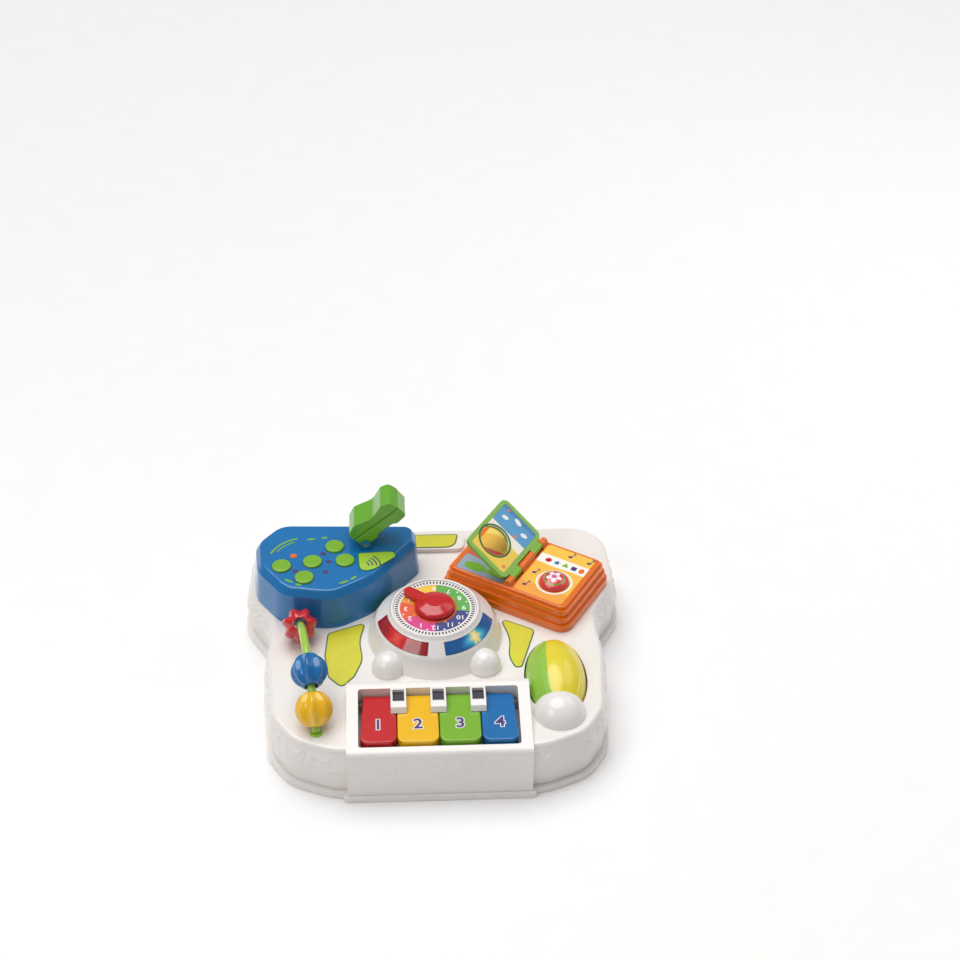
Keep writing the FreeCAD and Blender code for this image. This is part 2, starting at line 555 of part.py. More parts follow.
def make_key(colour, left, right):
    """One coloured key, hollow below, with its lug on the rod, and the rubber dome under it."""
    gap = v.key_gap / 2
    x0, x1 = left + gap, right - gap
    middle = (x0 + x1) / 2
    outer = left < -v.key_inner_width or right > v.key_inner_width
    lean = 3.5 if outer else 0
    back_x0 = x0 + (lean if left < -v.key_inner_width else 0)
    back_x1 = x1 - (lean if right > v.key_inner_width else 0)
    body = new_body(f"{colour}_key")
    outline = [(x0, -v.key_front, 9), (x1, -v.key_front, 9), (back_x1, -v.key_back, 1.5),
               (back_x0, -v.key_back, 1.5)]
    sketch = new_sketch(body, height="Sizes.deck_top + Sizes.key_top_rise - Sizes.key_thick")
    add_outline(sketch, outline)
    add_pad(body, sketch, "Sizes.key_thick")
    add_fillet(body, level(v.deck_top + v.key_top_rise), "Sizes.key_round / 2")
    sketch = new_sketch(body, height="Sizes.deck_top + Sizes.key_top_rise - Sizes.key_thick")
    add_outline(sketch, outline, v.key_wall)
    add_pocket(body, sketch, "Sizes.key_thick - Sizes.key_wall", upwards=True)
    sketch = new_sketch(body, height="Sizes.deck_top + Sizes.key_top_rise - Sizes.key_thick")
    add_circle(sketch, middle, -135, v.dome_r - 1, "Sizes.dome_r - 1")
    add_pad(body, sketch, "Sizes.key_thick - Sizes.key_wall + 1")
    lug_half = (x1 - x0) / 2 - v.ear_thick / 2 - v.ear_gap - (2.5 if outer else 0.5)
    sketch = new_sketch(body, "YZ_Plane", height=f"{middle}")
    rod_y, rod_z = -v.key_rod_y, v.key_rod_z
    top = v.deck_top + v.key_top_rise - v.key_thick + 4
    under = deck_under - v.lug_gap
    add_outline(sketch, [(-v.key_back - 4, rod_z - 3, 1), (rod_y, rod_z - 5, 3), (rod_y + 4.5, rod_z, 3),
                         (rod_y + 2, under - 0.8, 2), (-v.key_back + v.well_gap - 0.8, under, 0.4),
                         (-v.key_back - 0.5, top, 0.5), (-v.key_back - 4, top, 0.5)])
    add_pad(body, sketch, f"{2 * lug_half}", middle=True)
    sketch = new_sketch(body, "YZ_Plane", height=f"{middle}")
    add_circle(sketch, rod_y, rod_z, v.key_rod_r + v.running_gap, "Sizes.key_rod_r + Sizes.running_gap")
    add_pocket(body, sketch, f"{2 * lug_half + 4}", middle=True)

    dome = new_body(f"{colour}_key_dome")
    place(dome, f"{middle}", "-135", "Sizes.carrier_z + Sizes.carrier_thick")
    sketch = new_sketch(dome, "XZ_Plane")
    height = v.deck_top + v.key_top_rise - v.key_thick - v.carrier_z - v.carrier_thick
    r = v.dome_r
    add_polygon(sketch, [(r + 2, 0), (r + 2, 1.2), (r, 1.6), (r - 1, height), (0, height),
                         (0, height - 2), (r - 2.2, height - 2), (r - 1.2, 0)])
    add_turned(dome, sketch)


def black_frame(x):
    """A white frame that stands out over the keys from the ridge, open in the middle."""
    low = v.deck_top + v.key_top_rise + v.black_gap
    back = -v.key_back + v.well_gap
    front = back - v.black_length
    high = v.deck_top + v.black_rise
    half = v.black_width / 2
    side = [Vector(x - half, back, low), Vector(x - half, front, low), Vector(x - half, front + 3, high - 2),
            Vector(x - half, front + 8, high), Vector(x - half, back, high)]
    block = Part.Face(Part.makePolygon(side + side[:1])).extrude(Vector(v.black_width, 0, 0))
    inner = half - v.black_wall
    pocket = Part.makeBox(2 * inner, v.black_key_length, high - low - 2,
                          Vector(x - inner, back - 2 - v.black_key_length, low + 2))
    return block.cut(pocket)


def black_cap(x):
    """A black key seated in its frame's pocket."""
    low = v.deck_top + v.key_top_rise + v.black_gap + 2
    back = -v.key_back + v.well_gap - 2
    inner = v.black_width / 2 - v.black_wall
    high = v.deck_top + v.black_rise - 3.5
    return Part.makeBox(2 * inner, v.black_key_length, high - low,
                        Vector(x - inner, back - v.black_key_length, low))


def make_dial():
    """Housing with its rim and two round bosses, windows, face, tick ring, knob and shaft."""
    deck, rim = v.deck_top, v.deck_top + v.rim_rise
    face_z = rim - v.face_drop
    knee_z, shoulder_z = deck + v.knee_rise, deck + v.shoulder_rise
    wall = v.housing_wall
    body = new_body("dial_housing")
    for side in (-1, 1):
        ball = body.newObject("PartDesign::AdditiveSphere", "boss_ball")
        bind(ball, Radius="Sizes.ball_r")
        ball.Placement = FreeCAD.Placement(Vector(side * v.ball_x, -v.ball_y, deck + 2), FreeCAD.Rotation())
        doc.recompute()
        if side < 0:
            sketch = new_sketch(body, "XZ_Plane")
            add_outline(sketch, [
                (0.01, face_z - wall, 0.2), (v.rim_r - 4, face_z - wall, 0.5),
                (v.shoulder_r - 2.5, shoulder_z - 2.4, 1), (v.knee_r - wall, knee_z - 1.5, 4),
                (v.housing_r - wall, deck, 0.2), (v.housing_r, deck, 0.2), (v.knee_r, knee_z, 9),
                (v.shoulder_r, shoulder_z, 2), (v.rim_r, rim, 1), (v.rim_r - v.rim_wall, rim, 0.8),
                (v.rim_r - v.rim_wall, face_z, 0.2), (0.01, face_z, 0.2)])
            add_turned(body, sketch)
    sketch = new_sketch(body, height="Sizes.deck_top")
    reach = v.housing_r + v.ball_r
    add_outline(sketch, rectangle(-reach, -reach, reach, reach))
    add_pocket(body, sketch, "2 * Sizes.ball_r")
    sketch = new_sketch(body, height="Sizes.deck_top + Sizes.rim_rise")
    add_circle(sketch, 0, 0, v.hub_r + v.running_gap, "Sizes.hub_r + Sizes.running_gap")
    add_pocket(body, sketch, "Sizes.face_drop + 3 * Sizes.housing_wall")
    middle = (v.window_start + v.window_end) / 2
    spread = v.window_end - v.window_start
    for side in (-1, 1):
        sketch = new_sketch(body, "XZ_Plane", turn=-90 + side * middle)
        add_polygon(sketch, window_profile(0, 4.5, -7))
        add_turned(body, sketch, spread, subtract=True)
    for colour, side in (("red", -1), ("blue", 1)):
        window = new_body(f"{colour}_window")
        sketch = new_sketch(window, "XZ_Plane", turn=-90 + side * middle)
        add_polygon(sketch, window_profile(v.window_gap, 0.8, -2.2))
        add_turned(window, sketch, spread - 1.0)

    ring = new_body("tick_ring")
    place(ring, z="Sizes.deck_top + Sizes.rim_rise - Sizes.face_drop")
    sketch = new_sketch(ring)
    outer = v.rim_r - v.rim_wall - v.ring_gap
    add_circle(sketch, 0, 0, outer, "Sizes.rim_r - Sizes.rim_wall - Sizes.ring_gap")
    add_circle(sketch, 0, 0, v.face_r, "Sizes.face_r")
    add_pad(ring, sketch, "Sizes.tick_thick")
    face = new_body("dial_face")
    place(face, z="Sizes.deck_top + Sizes.rim_rise - Sizes.face_drop")
    sketch = new_sketch(face)
    add_circle(sketch, 0, 0, v.face_r, "Sizes.face_r")
    add_circle(sketch, 0, 0, v.hub_r + v.running_gap, "Sizes.hub_r + Sizes.running_gap")
    add_pad(face, sketch, "Sizes.face_thick")

    knob = new_body("dial_knob")
    place(knob, z="Sizes.deck_top + Sizes.rim_rise - Sizes.face_drop + Sizes.tick_thick + Sizes.knob_gap")
    sketch = new_sketch(knob, "XZ_Plane")
    add_outline(sketch, [(0.01, 0, 0.2), (v.knob_r, 0, 0.5), (v.knob_r, v.knob_rise * 0.55, 4),
                         (v.knob_r * 0.45, v.knob_rise, 8), (0.01, v.knob_rise, 0.2)])
    add_turned(knob, sketch)
    sketch = new_sketch(knob)
    turn = math.radians(v.pointer_turn)
    tip = v.pointer_length
    half = v.pointer_width / 2
    spots = [(0, -half, 1), (tip, -half * 0.72, 5), (tip, half * 0.72, 5), (0, half, 1)]
    add_outline(sketch, [(x * math.cos(turn) - y * math.sin(turn), x * math.sin(turn) + y * math.cos(turn), r)
                         for x, y, r in spots])
    add_pad(knob, sketch, "Sizes.knob_rise * 0.6")
    shaft = doc.addObject("Part::Cylinder", "knob_shaft")
    shaft.Label = "knob_shaft"
    bind(shaft, Radius="Sizes.hub_r", Height="Sizes.shaft_length")
    place(shaft, z="Sizes.deck_top + Sizes.rim_rise - Sizes.face_drop + Sizes.tick_thick"
                   " + Sizes.knob_gap - Sizes.shaft_length")
    nodes.append(shaft)


def window_profile(gap, above, below):
    """A strip along the housing's slope, from above it to below it."""
    slope = Vector(v.shoulder_r - v.knee_r, v.shoulder_rise - v.knee_rise, 0)
    length = slope.Length
    along = slope / length
    out = Vector(along.y, -along.x, 0)
    start = Vector(v.knee_r, v.deck_top + v.knee_rise, 0)
    s0 = (v.knee_r - v.window_low_r) / abs(along.x) + gap
    s1 = (v.knee_r - v.window_high_r) / abs(along.x) - gap
    points = [start + along * s0 + out * below, start + along * s0 + out * above,
              start + along * s1 + out * above, start + along * s1 + out * below]
    return [(p.x, p.y) for p in points]


def housing_room(body, x="0", y="0", deck=0.0):
    """A profile of the dial housing, grown by a gap, about the dial's axis in a neighbour's own frame."""
    sketch = new_sketch(body, "XZ_Plane", height=f"-({y})")
    sketch.setExpression("AttachmentOffset.Base.x", x)
    gap = v.neighbour_gap
    add_polygon(sketch, [(0, deck - 1), (v.housing_r + gap, deck - 1), (v.housing_r + gap, deck),
                         (v.knee_r + gap, deck + v.knee_rise), (v.shoulder_r + gap, deck + v.shoulder_rise),
                         (0, deck + v.shoulder_rise)])
    return sketch


phone_outline = [(-187, 62, 34), (-158, 20.5, 34), (-103, 10, 40), (-60.5, 36.5, 60), (-14, 98, 14),
                 (-14, 130, 16), (-164, 136, 30), (-190, 104, 26)]
phone_buttons = [(-158, 60), (-134, 41), (-126, 66), (-103, 90), (-92, 67)]


def make_phone():
    """Phone body, keypad buttons over a rubber mat, print panel, handset halves and their pin."""
    body = new_body("phone_body")
    base = new_sketch(body, height="Sizes.deck_top")
    add_outline(base, phone_outline)
    shoulder = new_sketch(body, height="Sizes.deck_top + Sizes.phone_shoulder")
    add_outline(shoulder, phone_outline, v.phone_side_lean)
    add_loft(body, base, shoulder)
    shoulder = new_sketch(body, height="Sizes.deck_top + Sizes.phone_shoulder")
    add_outline(shoulder, phone_outline, v.phone_side_lean)
    top = new_sketch(body, height="Sizes.deck_top + Sizes.phone_rise")
    add_outline(top, phone_outline, v.phone_top_inset)
    add_loft(body, shoulder, top)
    add_fillet(body, level(v.deck_top + v.phone_rise), "Sizes.phone_round")
    inner = v.phone_wall
    base = new_sketch(body, height="Sizes.deck_top")
    add_outline(base, phone_outline, inner)
    top = new_sketch(body, height="Sizes.deck_top + Sizes.phone_rise - Sizes.phone_wall")
    add_outline(top, phone_outline, v.phone_top_inset + inner)
    add_loft(body, base, top, subtract=True)
    add_turned(body, housing_room(body, deck=v.deck_top), subtract=True)
    sketch = new_sketch(body, height="Sizes.deck_top + Sizes.phone_rise + 1")
    for x, y in phone_buttons:
        add_circle(sketch, x, y, v.button_r + v.button_gap, "Sizes.button_r + Sizes.button_gap")
    add_pocket(body, sketch, "Sizes.phone_wall + 2")
    top_z = v.deck_top + v.phone_rise
    pin_z = top_z + v.handset_pin_rise
    x, reach = v.handset_x, v.handset_pin_r + 2.4
    for side in (-1, 1):
        ear_y = v.handset_y + side * (v.handset_width / 2 + v.ear_side_gap + v.handset_ear / 2)
        profile = new_sketch(body, "XZ_Plane", height=f"{-ear_y}")
        add_outline(profile, [(x - reach - 1, top_z - 1, 0.4), (x + reach + 1, top_z - 1, 0.4),
                              (x + reach, pin_z + reach, 3.8), (x - reach, pin_z + reach, 3.8)])
        add_pad(body, profile, "Sizes.handset_ear", middle=True)
        profile = new_sketch(body, "XZ_Plane", height=f"{-ear_y}")
        add_circle(profile, x, pin_z, v.handset_pin_r, "Sizes.handset_pin_r")
        add_pocket(body, profile, "Sizes.handset_ear + 1", middle=True)
    for number, (bx, by) in enumerate(phone_buttons, start=1):
        button = new_body(f"phone_button_{number}")
        place(button, f"{bx}", f"{by}", "Sizes.deck_top + Sizes.phone_rise - Sizes.phone_wall - 0.3")
        sketch = new_sketch(button)
        add_circle(sketch, 0, 0, v.button_r, "Sizes.button_r")
        add_pad(button, sketch, "Sizes.phone_wall + 0.3 + Sizes.button_rise")
        add_fillet(button, level(v.phone_wall + 0.3 + v.button_rise), "Sizes.button_rise * 0.6")
        sketch = new_sketch(button, height="-2")
        add_circle(sketch, 0, 0, v.button_r + v.button_flange, "Sizes.button_r + Sizes.button_flange")
        add_pad(button, sketch, "2")
    mat = new_body("keypad_mat")
    place(mat, z="Sizes.deck_top + Sizes.phone_rise - Sizes.phone_wall - Sizes.mat_drop")
    sketch = new_sketch(mat)
    add_outline(sketch, [(-166, 62, 6), (-140, 30, 6), (-86, 54, 6), (-84, 74, 6), (-98, 100, 6), (-118, 94, 6)])
    add_pad(mat, sketch, "Sizes.mat_thick")
    sketch = new_sketch(mat)
    for x, y in phone_buttons:
        add_circle(sketch, x, y, 5)
    add_pad(mat, sketch, "Sizes.mat_drop - Sizes.mat_clear - Sizes.button_travel - Sizes.button_gap")
    label = new_body("phone_label")
    place(label, z="Sizes.deck_top + Sizes.phone_rise")
    sketch = new_sketch(label)
    add_outline(sketch, [(-77, 47, 8), (-61, 52, 8), (-30, 79, 6), (-50, 81, 5), (-79, 79, 3)])
    add_pad(label, sketch, "Sizes.label_thick")

    make_handset("handset_lower", -v.handset_under, v.handset_seam, True)
    make_handset("handset_upper", v.handset_seam, v.handset_thick - v.handset_under, False)
    pin = doc.addObject("Part::Cylinder", "handset_pin")
    pin.Label = "handset_pin"
    bind(pin, Radius="Sizes.handset_pin_r",
         Height="Sizes.handset_width + 2 * (Sizes.ear_side_gap + Sizes.handset_ear)")
    pin.Placement = FreeCAD.Placement(Vector(), FreeCAD.Rotation(Vector(1, 0, 0), -90))
    place(pin, "Sizes.handset_x", "Sizes.handset_y - Sizes.handset_width / 2 - Sizes.ear_side_gap"
          " - Sizes.handset_ear", "Sizes.deck_top + Sizes.phone_rise + Sizes.handset_pin_rise")
    nodes.append(pin)


def make_handset(name, low, high, lower):
    """One moulded half of the handset, in its own frame with the pin at the origin, raised to rest."""
    body = new_body(name)
    length, thick = v.handset_length, v.handset_thick - v.handset_under
    profile = new_sketch(body, "XZ_Plane")
    if lower:
        add_outline(profile, [(-4, low, 2), (14, low, 3), (18, low + 3, 4), (length - 18, low + 3, 4),
                              (length - 14, low, 3), (length, low + 1, 4), (length + 1, high, 0.3),
                              (-6, high, 0.3), (-6, 2, 3)])
    else:
        add_outline(profile, [(-6, low, 0.3), (length + 1, low, 0.3), (length - 1, thick - 3, 6),
                              (length - 10, thick, 6), (length * 0.52, thick - 6, 16), (8, thick, 6),
                              (-5, thick - 5, 5)])
    add_pad(body, profile, "Sizes.handset_width", middle=True)
    edge = v.handset_width / 2

    def side_edge(e):
        box = e.BoundBox
        on_side = abs(abs(box.Center.y) - edge) < 0.01 and box.YLength < 0.01
        seam = v.handset_seam
        return on_side and not (abs(box.ZMin - seam) < 0.01 and abs(box.ZMax - seam) < 0.01)

    add_fillet(body, side_edge, "Sizes.handset_round" if lower else "Sizes.handset_round / 2")
    if lower:
        profile = new_sketch(body, "XZ_Plane")
        add_circle(profile, 0, 0, v.handset_pin_r + v.running_gap, "Sizes.handset_pin_r + Sizes.running_gap")
        add_pocket(body, profile, "Sizes.handset_width + 4", middle=True)
    body.Placement = FreeCAD.Placement(Vector(), FreeCAD.Rotation(Vector(0, 1, 0), -v.handset_raise))
    place(body, "Sizes.handset_x", "Sizes.handset_y",
          "Sizes.deck_top + Sizes.phone_rise + Sizes.handset_pin_rise")


def book_place(body, x=0.0, y=0.0, z="0", tilt=0.0):
    """Seats a book piece: local X runs across the spine, local Y along it."""
    turn = FreeCAD.Rotation(Vector(0, 0, 1), v.book_turn)
    spot = turn.multVec(Vector(x, y, 0))
    body.Placement = FreeCAD.Placement(Vector(), turn.multiply(FreeCAD.Rotation(Vector(0, 1, 0), tilt)))
    place(body, f"Sizes.book_x + {spot.x}", f"Sizes.book_y + {spot.y}", f"Sizes.deck_top + {z}")


def make_book():
    """Stepped book base, page prints, hinge pin, turning page, and the red push button."""
    base = new_body("book_base")
    half_x, half_y = v.book_half_width, v.book_half_length
    step, inward = v.book_step_rise, v.book_step_in
    for i in range(3):
        sketch = new_sketch(base, height=f"{i} * Sizes.book_step_rise")
        inset = i * inward
        add_outline(sketch, rectangle(-half_x, -half_y, half_x, half_y, v.book_corner), inset)
        add_pad(base, sketch, "Sizes.book_step_rise")
    sketch = new_sketch(base, height="3 * Sizes.book_step_rise")
    add_outline(sketch, rectangle(-half_x, -half_y, half_x, half_y, v.book_corner), 3 * inward)
    add_pad(base, sketch, "Sizes.book_rise - 3 * Sizes.book_step_rise")
    add_fillet(base, level(v.book_rise), "Sizes.book_step_in / 2")
    sketch = new_sketch(base)
    add_outline(sketch, rectangle(-half_x, -half_y, half_x, half_y, v.book_corner), 3 * inward + v.book_wall)
    add_pocket(base, sketch, "Sizes.book_rise - Sizes.book_wall - Sizes.panel_thick", upwards=True)
    spot = FreeCAD.Rotation(Vector(0, 0, 1), -v.book_turn).multVec(Vector(-v.book_x, -v.book_y, 0))
    add_turned(base, housing_room(base, f"{spot.x}", f"{spot.y}"), subtract=True)
    for side in (-1, 1):
        sketch = new_sketch(base, height="Sizes.book_rise")
        near, far = sorted((side * (v.spine_r + 1), side * v.page_half_width))
        add_outline(sketch, rectangle(near, -v.page_half_length, far, v.page_half_length, 4))
        add_pocket(base, sketch, "Sizes.panel_thick")
    profile = new_sketch(base, "XZ_Plane")
    pin_z = v.book_rise + v.spine_rise
    add_outline(profile, [(-v.knuckle_r, v.book_rise - 1.5, 0.4), (v.knuckle_r, v.book_rise - 1.5, 0.4),
                          (v.knuckle_r, pin_z + v.knuckle_r, 3.8), (-v.knuckle_r, pin_z + v.knuckle_r, 3.8)])
    add_pad(base, profile, "2 * Sizes.page_half_length", middle=True)
    sketch = new_sketch(base, height="Sizes.book_rise + 4 * Sizes.knuckle_r")
    k = v.knuckle_length / 2 + 0.5
    for y in knuckle_places():
        add_outline(sketch, rectangle(-v.knuckle_r - 1, y - k, v.knuckle_r + 1, y + k, 0.4))
    add_pocket(base, sketch, "4 * Sizes.knuckle_r + Sizes.knuckle_cut")
    profile = new_sketch(base, "XZ_Plane")
    add_circle(profile, 0, pin_z, v.page_pin_r, "Sizes.page_pin_r")
    add_pocket(base, profile, "2 * Sizes.page_half_length + 4", middle=True)
    sketch = new_sketch(base, height="Sizes.book_rise + 2 * Sizes.book_wall")
    add_circle(sketch, v.button_x, v.button_y, v.red_button_r + v.button_gap,
               "Sizes.red_button_r + Sizes.button_gap")
    add_pocket(base, sketch, "4 * Sizes.book_wall")
    book_place(base)

    for name, side in (("left_page_print", -1), ("right_page_print", 1)):
        panel = new_body(name)
        near, far = sorted((side * (v.spine_r + 1.2), side * (v.page_half_width - 0.2)))
        sketch = new_sketch(panel, height="Sizes.book_rise - Sizes.panel_thick")
        add_outline(sketch, rectangle(near, -v.page_half_length + 0.2, far, v.page_half_length - 0.2, 4))
        if side > 0:
            hole = v.red_button_r + v.button_gap
            add_circle(sketch, v.button_x, v.button_y, hole, "Sizes.red_button_r + Sizes.button_gap")
        add_pad(panel, sketch, "Sizes.panel_thick")
        book_place(panel)

    pin = doc.addObject("Part::Cylinder", "page_pin")
    pin.Label = "page_pin"
    bind(pin, Radius="Sizes.page_pin_r", Height="2 * Sizes.page_half_length")
    turn = FreeCAD.Rotation(Vector(0, 0, 1), v.book_turn)
    pin.Placement = FreeCAD.Placement(Vector(), turn.multiply(FreeCAD.Rotation(Vector(1, 0, 0), -90)))
    end = turn.multVec(Vector(0, -v.page_half_length, 0))
    place(pin, f"Sizes.book_x + {end.x}", f"Sizes.book_y + {end.y}",
          "Sizes.deck_top + Sizes.book_rise + Sizes.spine_rise")
    nodes.append(pin)
    make_page()

    button = new_body("book_button")
    sketch = new_sketch(button, "XZ_Plane")
    r, rise = v.red_button_r, v.red_button_rise
    add_outline(sketch, [(0.01, -5.5, 0.2), (r + 1.5, -5.5, 0.3), (r + 1.5, -v.book_wall - 1.3, 0.3),
                         (r, -v.book_wall - 1.3, 0.2), (r, rise * 0.45, 4), (r * 0.45, rise, 12),
                         (0.01, rise, 0.2)])
    add_turned(button, sketch)
    book_place(button, v.button_x, v.button_y, "Sizes.book_rise")
    dome = new_body("book_button_dome")
    sketch = new_sketch(dome, "XZ_Plane")
    add_polygon(sketch, [(4.8, 0), (7, 0), (7, 1.2), (5.4, 2), (4.6, v.book_rise - 5.5), (0, v.book_rise - 5.5),
                         (0, v.book_rise - 8), (3.4, v.book_rise - 8)])
    add_turned(dome, sketch)
    book_place(dome, v.button_x, v.button_y)


def knuckle_places():
    """Middles of the page's two hinge knuckles along the spine."""
    return (-v.page_half_length * 0.55, v.page_half_length * 0.55)


def make_page():
    """The turning page, in its own frame with the pin at the origin, raised to rest."""
    page = new_body("page_frame")
    inner = v.knuckle_r + 1.4
    sketch = new_sketch(page, height="-Sizes.page_thick / 2")
    add_outline(sketch, rectangle(-v.page_length, -v.page_half, -inner, v.page_half, 8))
    add_pad(page, sketch, "Sizes.page_thick")
    sketch = new_sketch(page, height="-Sizes.page_thick / 2")
    for y in knuckle_places():
        half = v.knuckle_length / 2
        add_outline(sketch, rectangle(-inner - 3, y - half, 0.01, y + half, 0.4))
    add_pad(page, sketch, "Sizes.page_thick")
    for y in knuckle_places():
        profile = new_sketch(page, "XZ_Plane", height=f"{-y}")
        add_circle(profile, 0, 0, v.knuckle_r - 0.4, "Sizes.knuckle_r - 0.4")
        add_pad(page, profile, "Sizes.knuckle_length", middle=True)
    profile = new_sketch(page, "XZ_Plane")
    add_circle(profile, 0, 0, v.page_pin_r + v.running_gap, "Sizes.page_pin_r + Sizes.running_gap")
    add_pocket(page, profile, "2 * Sizes.page_half + 4", middle=True)
    sketch = new_sketch(page, height="Sizes.page_thick")
    hole = v.red_button_r + v.page_ring_gap
    add_circle(sketch, -v.button_x, v.button_y, hole, "Sizes.red_button_r + Sizes.page_ring_gap")
    add_pocket(page, sketch, "2 * Sizes.page_thick")
    sketch = new_sketch(page, height="Sizes.page_thick / 2")
    border = v.page_border
    add_outline(sketch, rectangle(-v.page_length, -v.page_half, -inner, v.page_half, 8), border)
    add_pocket(page, sketch, "Sizes.panel_thick")
    book_place(page, z="Sizes.book_rise + Sizes.spine_rise", tilt=v.page_lift)
    panel = new_body("page_print")
    sketch = new_sketch(panel, height="Sizes.page_thick / 2 - Sizes.panel_thick")
    add_outline(sketch, rectangle(-v.page_length, -v.page_half, -inner, v.page_half, 8), border + 0.2)
    add_circle(sketch, -v.button_x, v.button_y, hole, "Sizes.red_button_r + Sizes.page_ring_gap")
    add_pad(panel, sketch, "Sizes.panel_thick")
    book_place(panel, z="Sizes.book_rise + Sizes.spine_rise", tilt=v.page_lift)


def make_roller():
    """The barrel on its axle, the cup under the deck that carries it, and the round end cap."""
    axis_z = "Sizes.deck_top - Sizes.roller_drop"
    lying = FreeCAD.Rotation(Vector(1, 0, 0), -90)
    barrel = new_body("roller")
    sketch = new_sketch(barrel, "XZ_Plane")
    bore = v.axle_r + v.running_gap
    wall = v.roller_wall
    low, high = -v.roller_front, v.roller_back
    outer, inner = oval(0), oval(-wall)
    add_half_curve(sketch, outer, low, high)
    add_half_curve(sketch, inner, low + wall, high - wall)
    add_chain(sketch, [(outer(high), high), (bore, high), (bore, high - wall), (inner(high - wall), high - wall)])
    add_chain(sketch, [(outer(low), low), (bore, low), (bore, low + wall), (inner(low + wall), low + wall)])
    add_turned(barrel, sketch)
    barrel.Placement = FreeCAD.Placement(Vector(), lying)
    place(barrel, "Sizes.roller_x", "Sizes.roller_y", axis_z)
    axle = doc.addObject("Part::Cylinder", "roller_axle")
    axle.Label = "roller_axle"
    bind(axle, Radius="Sizes.axle_r", Height="Sizes.roller_front + Sizes.roller_back"
         " + 2 * (Sizes.cup_gap + Sizes.cup_end)")
    axle.Placement = FreeCAD.Placement(Vector(), lying)
    place(axle, "Sizes.roller_x", "Sizes.roller_y - Sizes.roller_front - Sizes.cup_gap - Sizes.cup_end", axis_z)
    nodes.append(axle)

    cup = new_body("roller_cup")
    sketch = new_sketch(cup, "XZ_Plane")
    low, high = -v.roller_front - v.cup_gap, v.roller_back + v.cup_gap
    end = v.cup_end
    inner, outer = oval(v.cup_gap), oval(v.cup_gap + v.cup_wall)
    add_half_curve(sketch, inner, low, high)
    add_half_curve(sketch, outer, low - end, high + end)
    add_chain(sketch, [(inner(high), high), (0.01, high), (0.01, high + end), (outer(high + end), high + end)])
    add_chain(sketch, [(inner(low), low), (0.01, low), (0.01, low - end), (outer(low - end), low - end)])
    add_turned(cup, sketch, 180.0)
    rim = new_sketch(cup, "YZ_Plane")
    add_oval_loop(rim, outer, low - end, high + end)
    add_oval_loop(rim, inner, low, high)
    pad = add_pad(cup, rim, "Sizes.roller_drop - Sizes.case_wall")
    pad.Reversed = True
    settle(pad)
    sketch = new_sketch(cup)
    add_circle(sketch, 0, 0, v.axle_r, "Sizes.axle_r")
    add_pocket(cup, sketch, "4 * Sizes.roller_half", middle=True)
    turn = FreeCAD.Rotation(Vector(0, 1, 0), 90)
    cup.Placement = FreeCAD.Placement(Vector(), turn.multiply(lying))
    place(cup, "Sizes.roller_x", "Sizes.roller_y", axis_z)

    wide, deep = 2 * v.half_width, 2 * v.half_depth
    deck_over = Part.makeBox(wide, deep, wide, Vector(-v.half_width, -v.half_depth, v.deck_top))
    cap_centre = Vector(v.roller_x, v.roller_y - v.cap_y, v.deck_top - v.roller_drop)
    shell = Part.makeSphere(v.cap_r, cap_centre).cut(Part.makeSphere(v.cap_r - v.cap_wall, cap_centre))
    front = Part.makeBox(wide, deep, wide, Vector(v.roller_x - v.half_width, v.roller_y - v.cap_rim - deep, 0))
    new_feature("roller_cap", shell.common(front).common(deck_over))


def arch_spot(angle):
    """A point of the arch, its angle counted from the top towards the back."""
    turn = math.radians(angle)
    lean = math.radians(v.arch_turn)
    centre = Vector(v.arch_x, v.arch_y, v.arch_foot - v.arch_r * math.cos(foot_angle()))
    along = Vector(-math.sin(lean), math.cos(lean), 0)
    return centre + along * (v.arch_r * math.sin(turn)) + Vector(0, 0, v.arch_r * math.cos(turn))


def foot_angle():
    """Half the arch's opening angle, from its span."""
    return math.asin(v.arch_half_span / v.arch_r)


def make_beads():
    """The bead rod with its two feet, and three beads threaded on it."""
    half = math.degrees(foot_angle())
    path = Part.Wire([Part.Arc(arch_spot(-half), arch_spot(0), arch_spot(half)).toShape()])
    tangent = (arch_spot(-half + 0.5) - arch_spot(-half)).normalize()
    section = Part.Wire([Part.makeCircle(v.rod_r, arch_spot(-half), tangent)])
    rod = path.makePipeShell([section], True, True)
    solids = [rod]
    for side in (-1, 1):
        spot = arch_spot(side * half)
        base = Vector(spot.x, spot.y, v.deck_top)
        solids.append(Part.makeCone(v.foot_r, v.rod_r + 1, v.foot_rise, base))
    wide, deep = 2 * v.half_width, 2 * v.half_depth
    over = Part.makeBox(wide, deep, wide, Vector(-wide, -v.half_depth, v.deck_top))
    whole = solids[0].fuse(solids[1:]).common(over)
    new_feature("bead_rod", whole)
    places = {"red_bead": v.bead_rest, "blue_bead": v.bead_pitch - v.bead_rest, "yellow_bead": -v.bead_rest}
    for name, angle in places.items():
        centre = arch_spot(angle)
        axis = (arch_spot(angle + 0.5) - arch_spot(angle - 0.5)).normalize()
        ball = Part.makeSphere(v.bead_r, centre)
        reach = v.bead_r - 1.5
        ends = Part.makeCylinder(v.bead_r + 1, 2 * reach, centre - axis * reach, axis)
        bore = Part.makeCylinder(v.bead_bore_r, 4 * v.bead_r, centre - axis * 2 * v.bead_r, axis)
        new_feature(name, ball.common(ends).cut(bore))


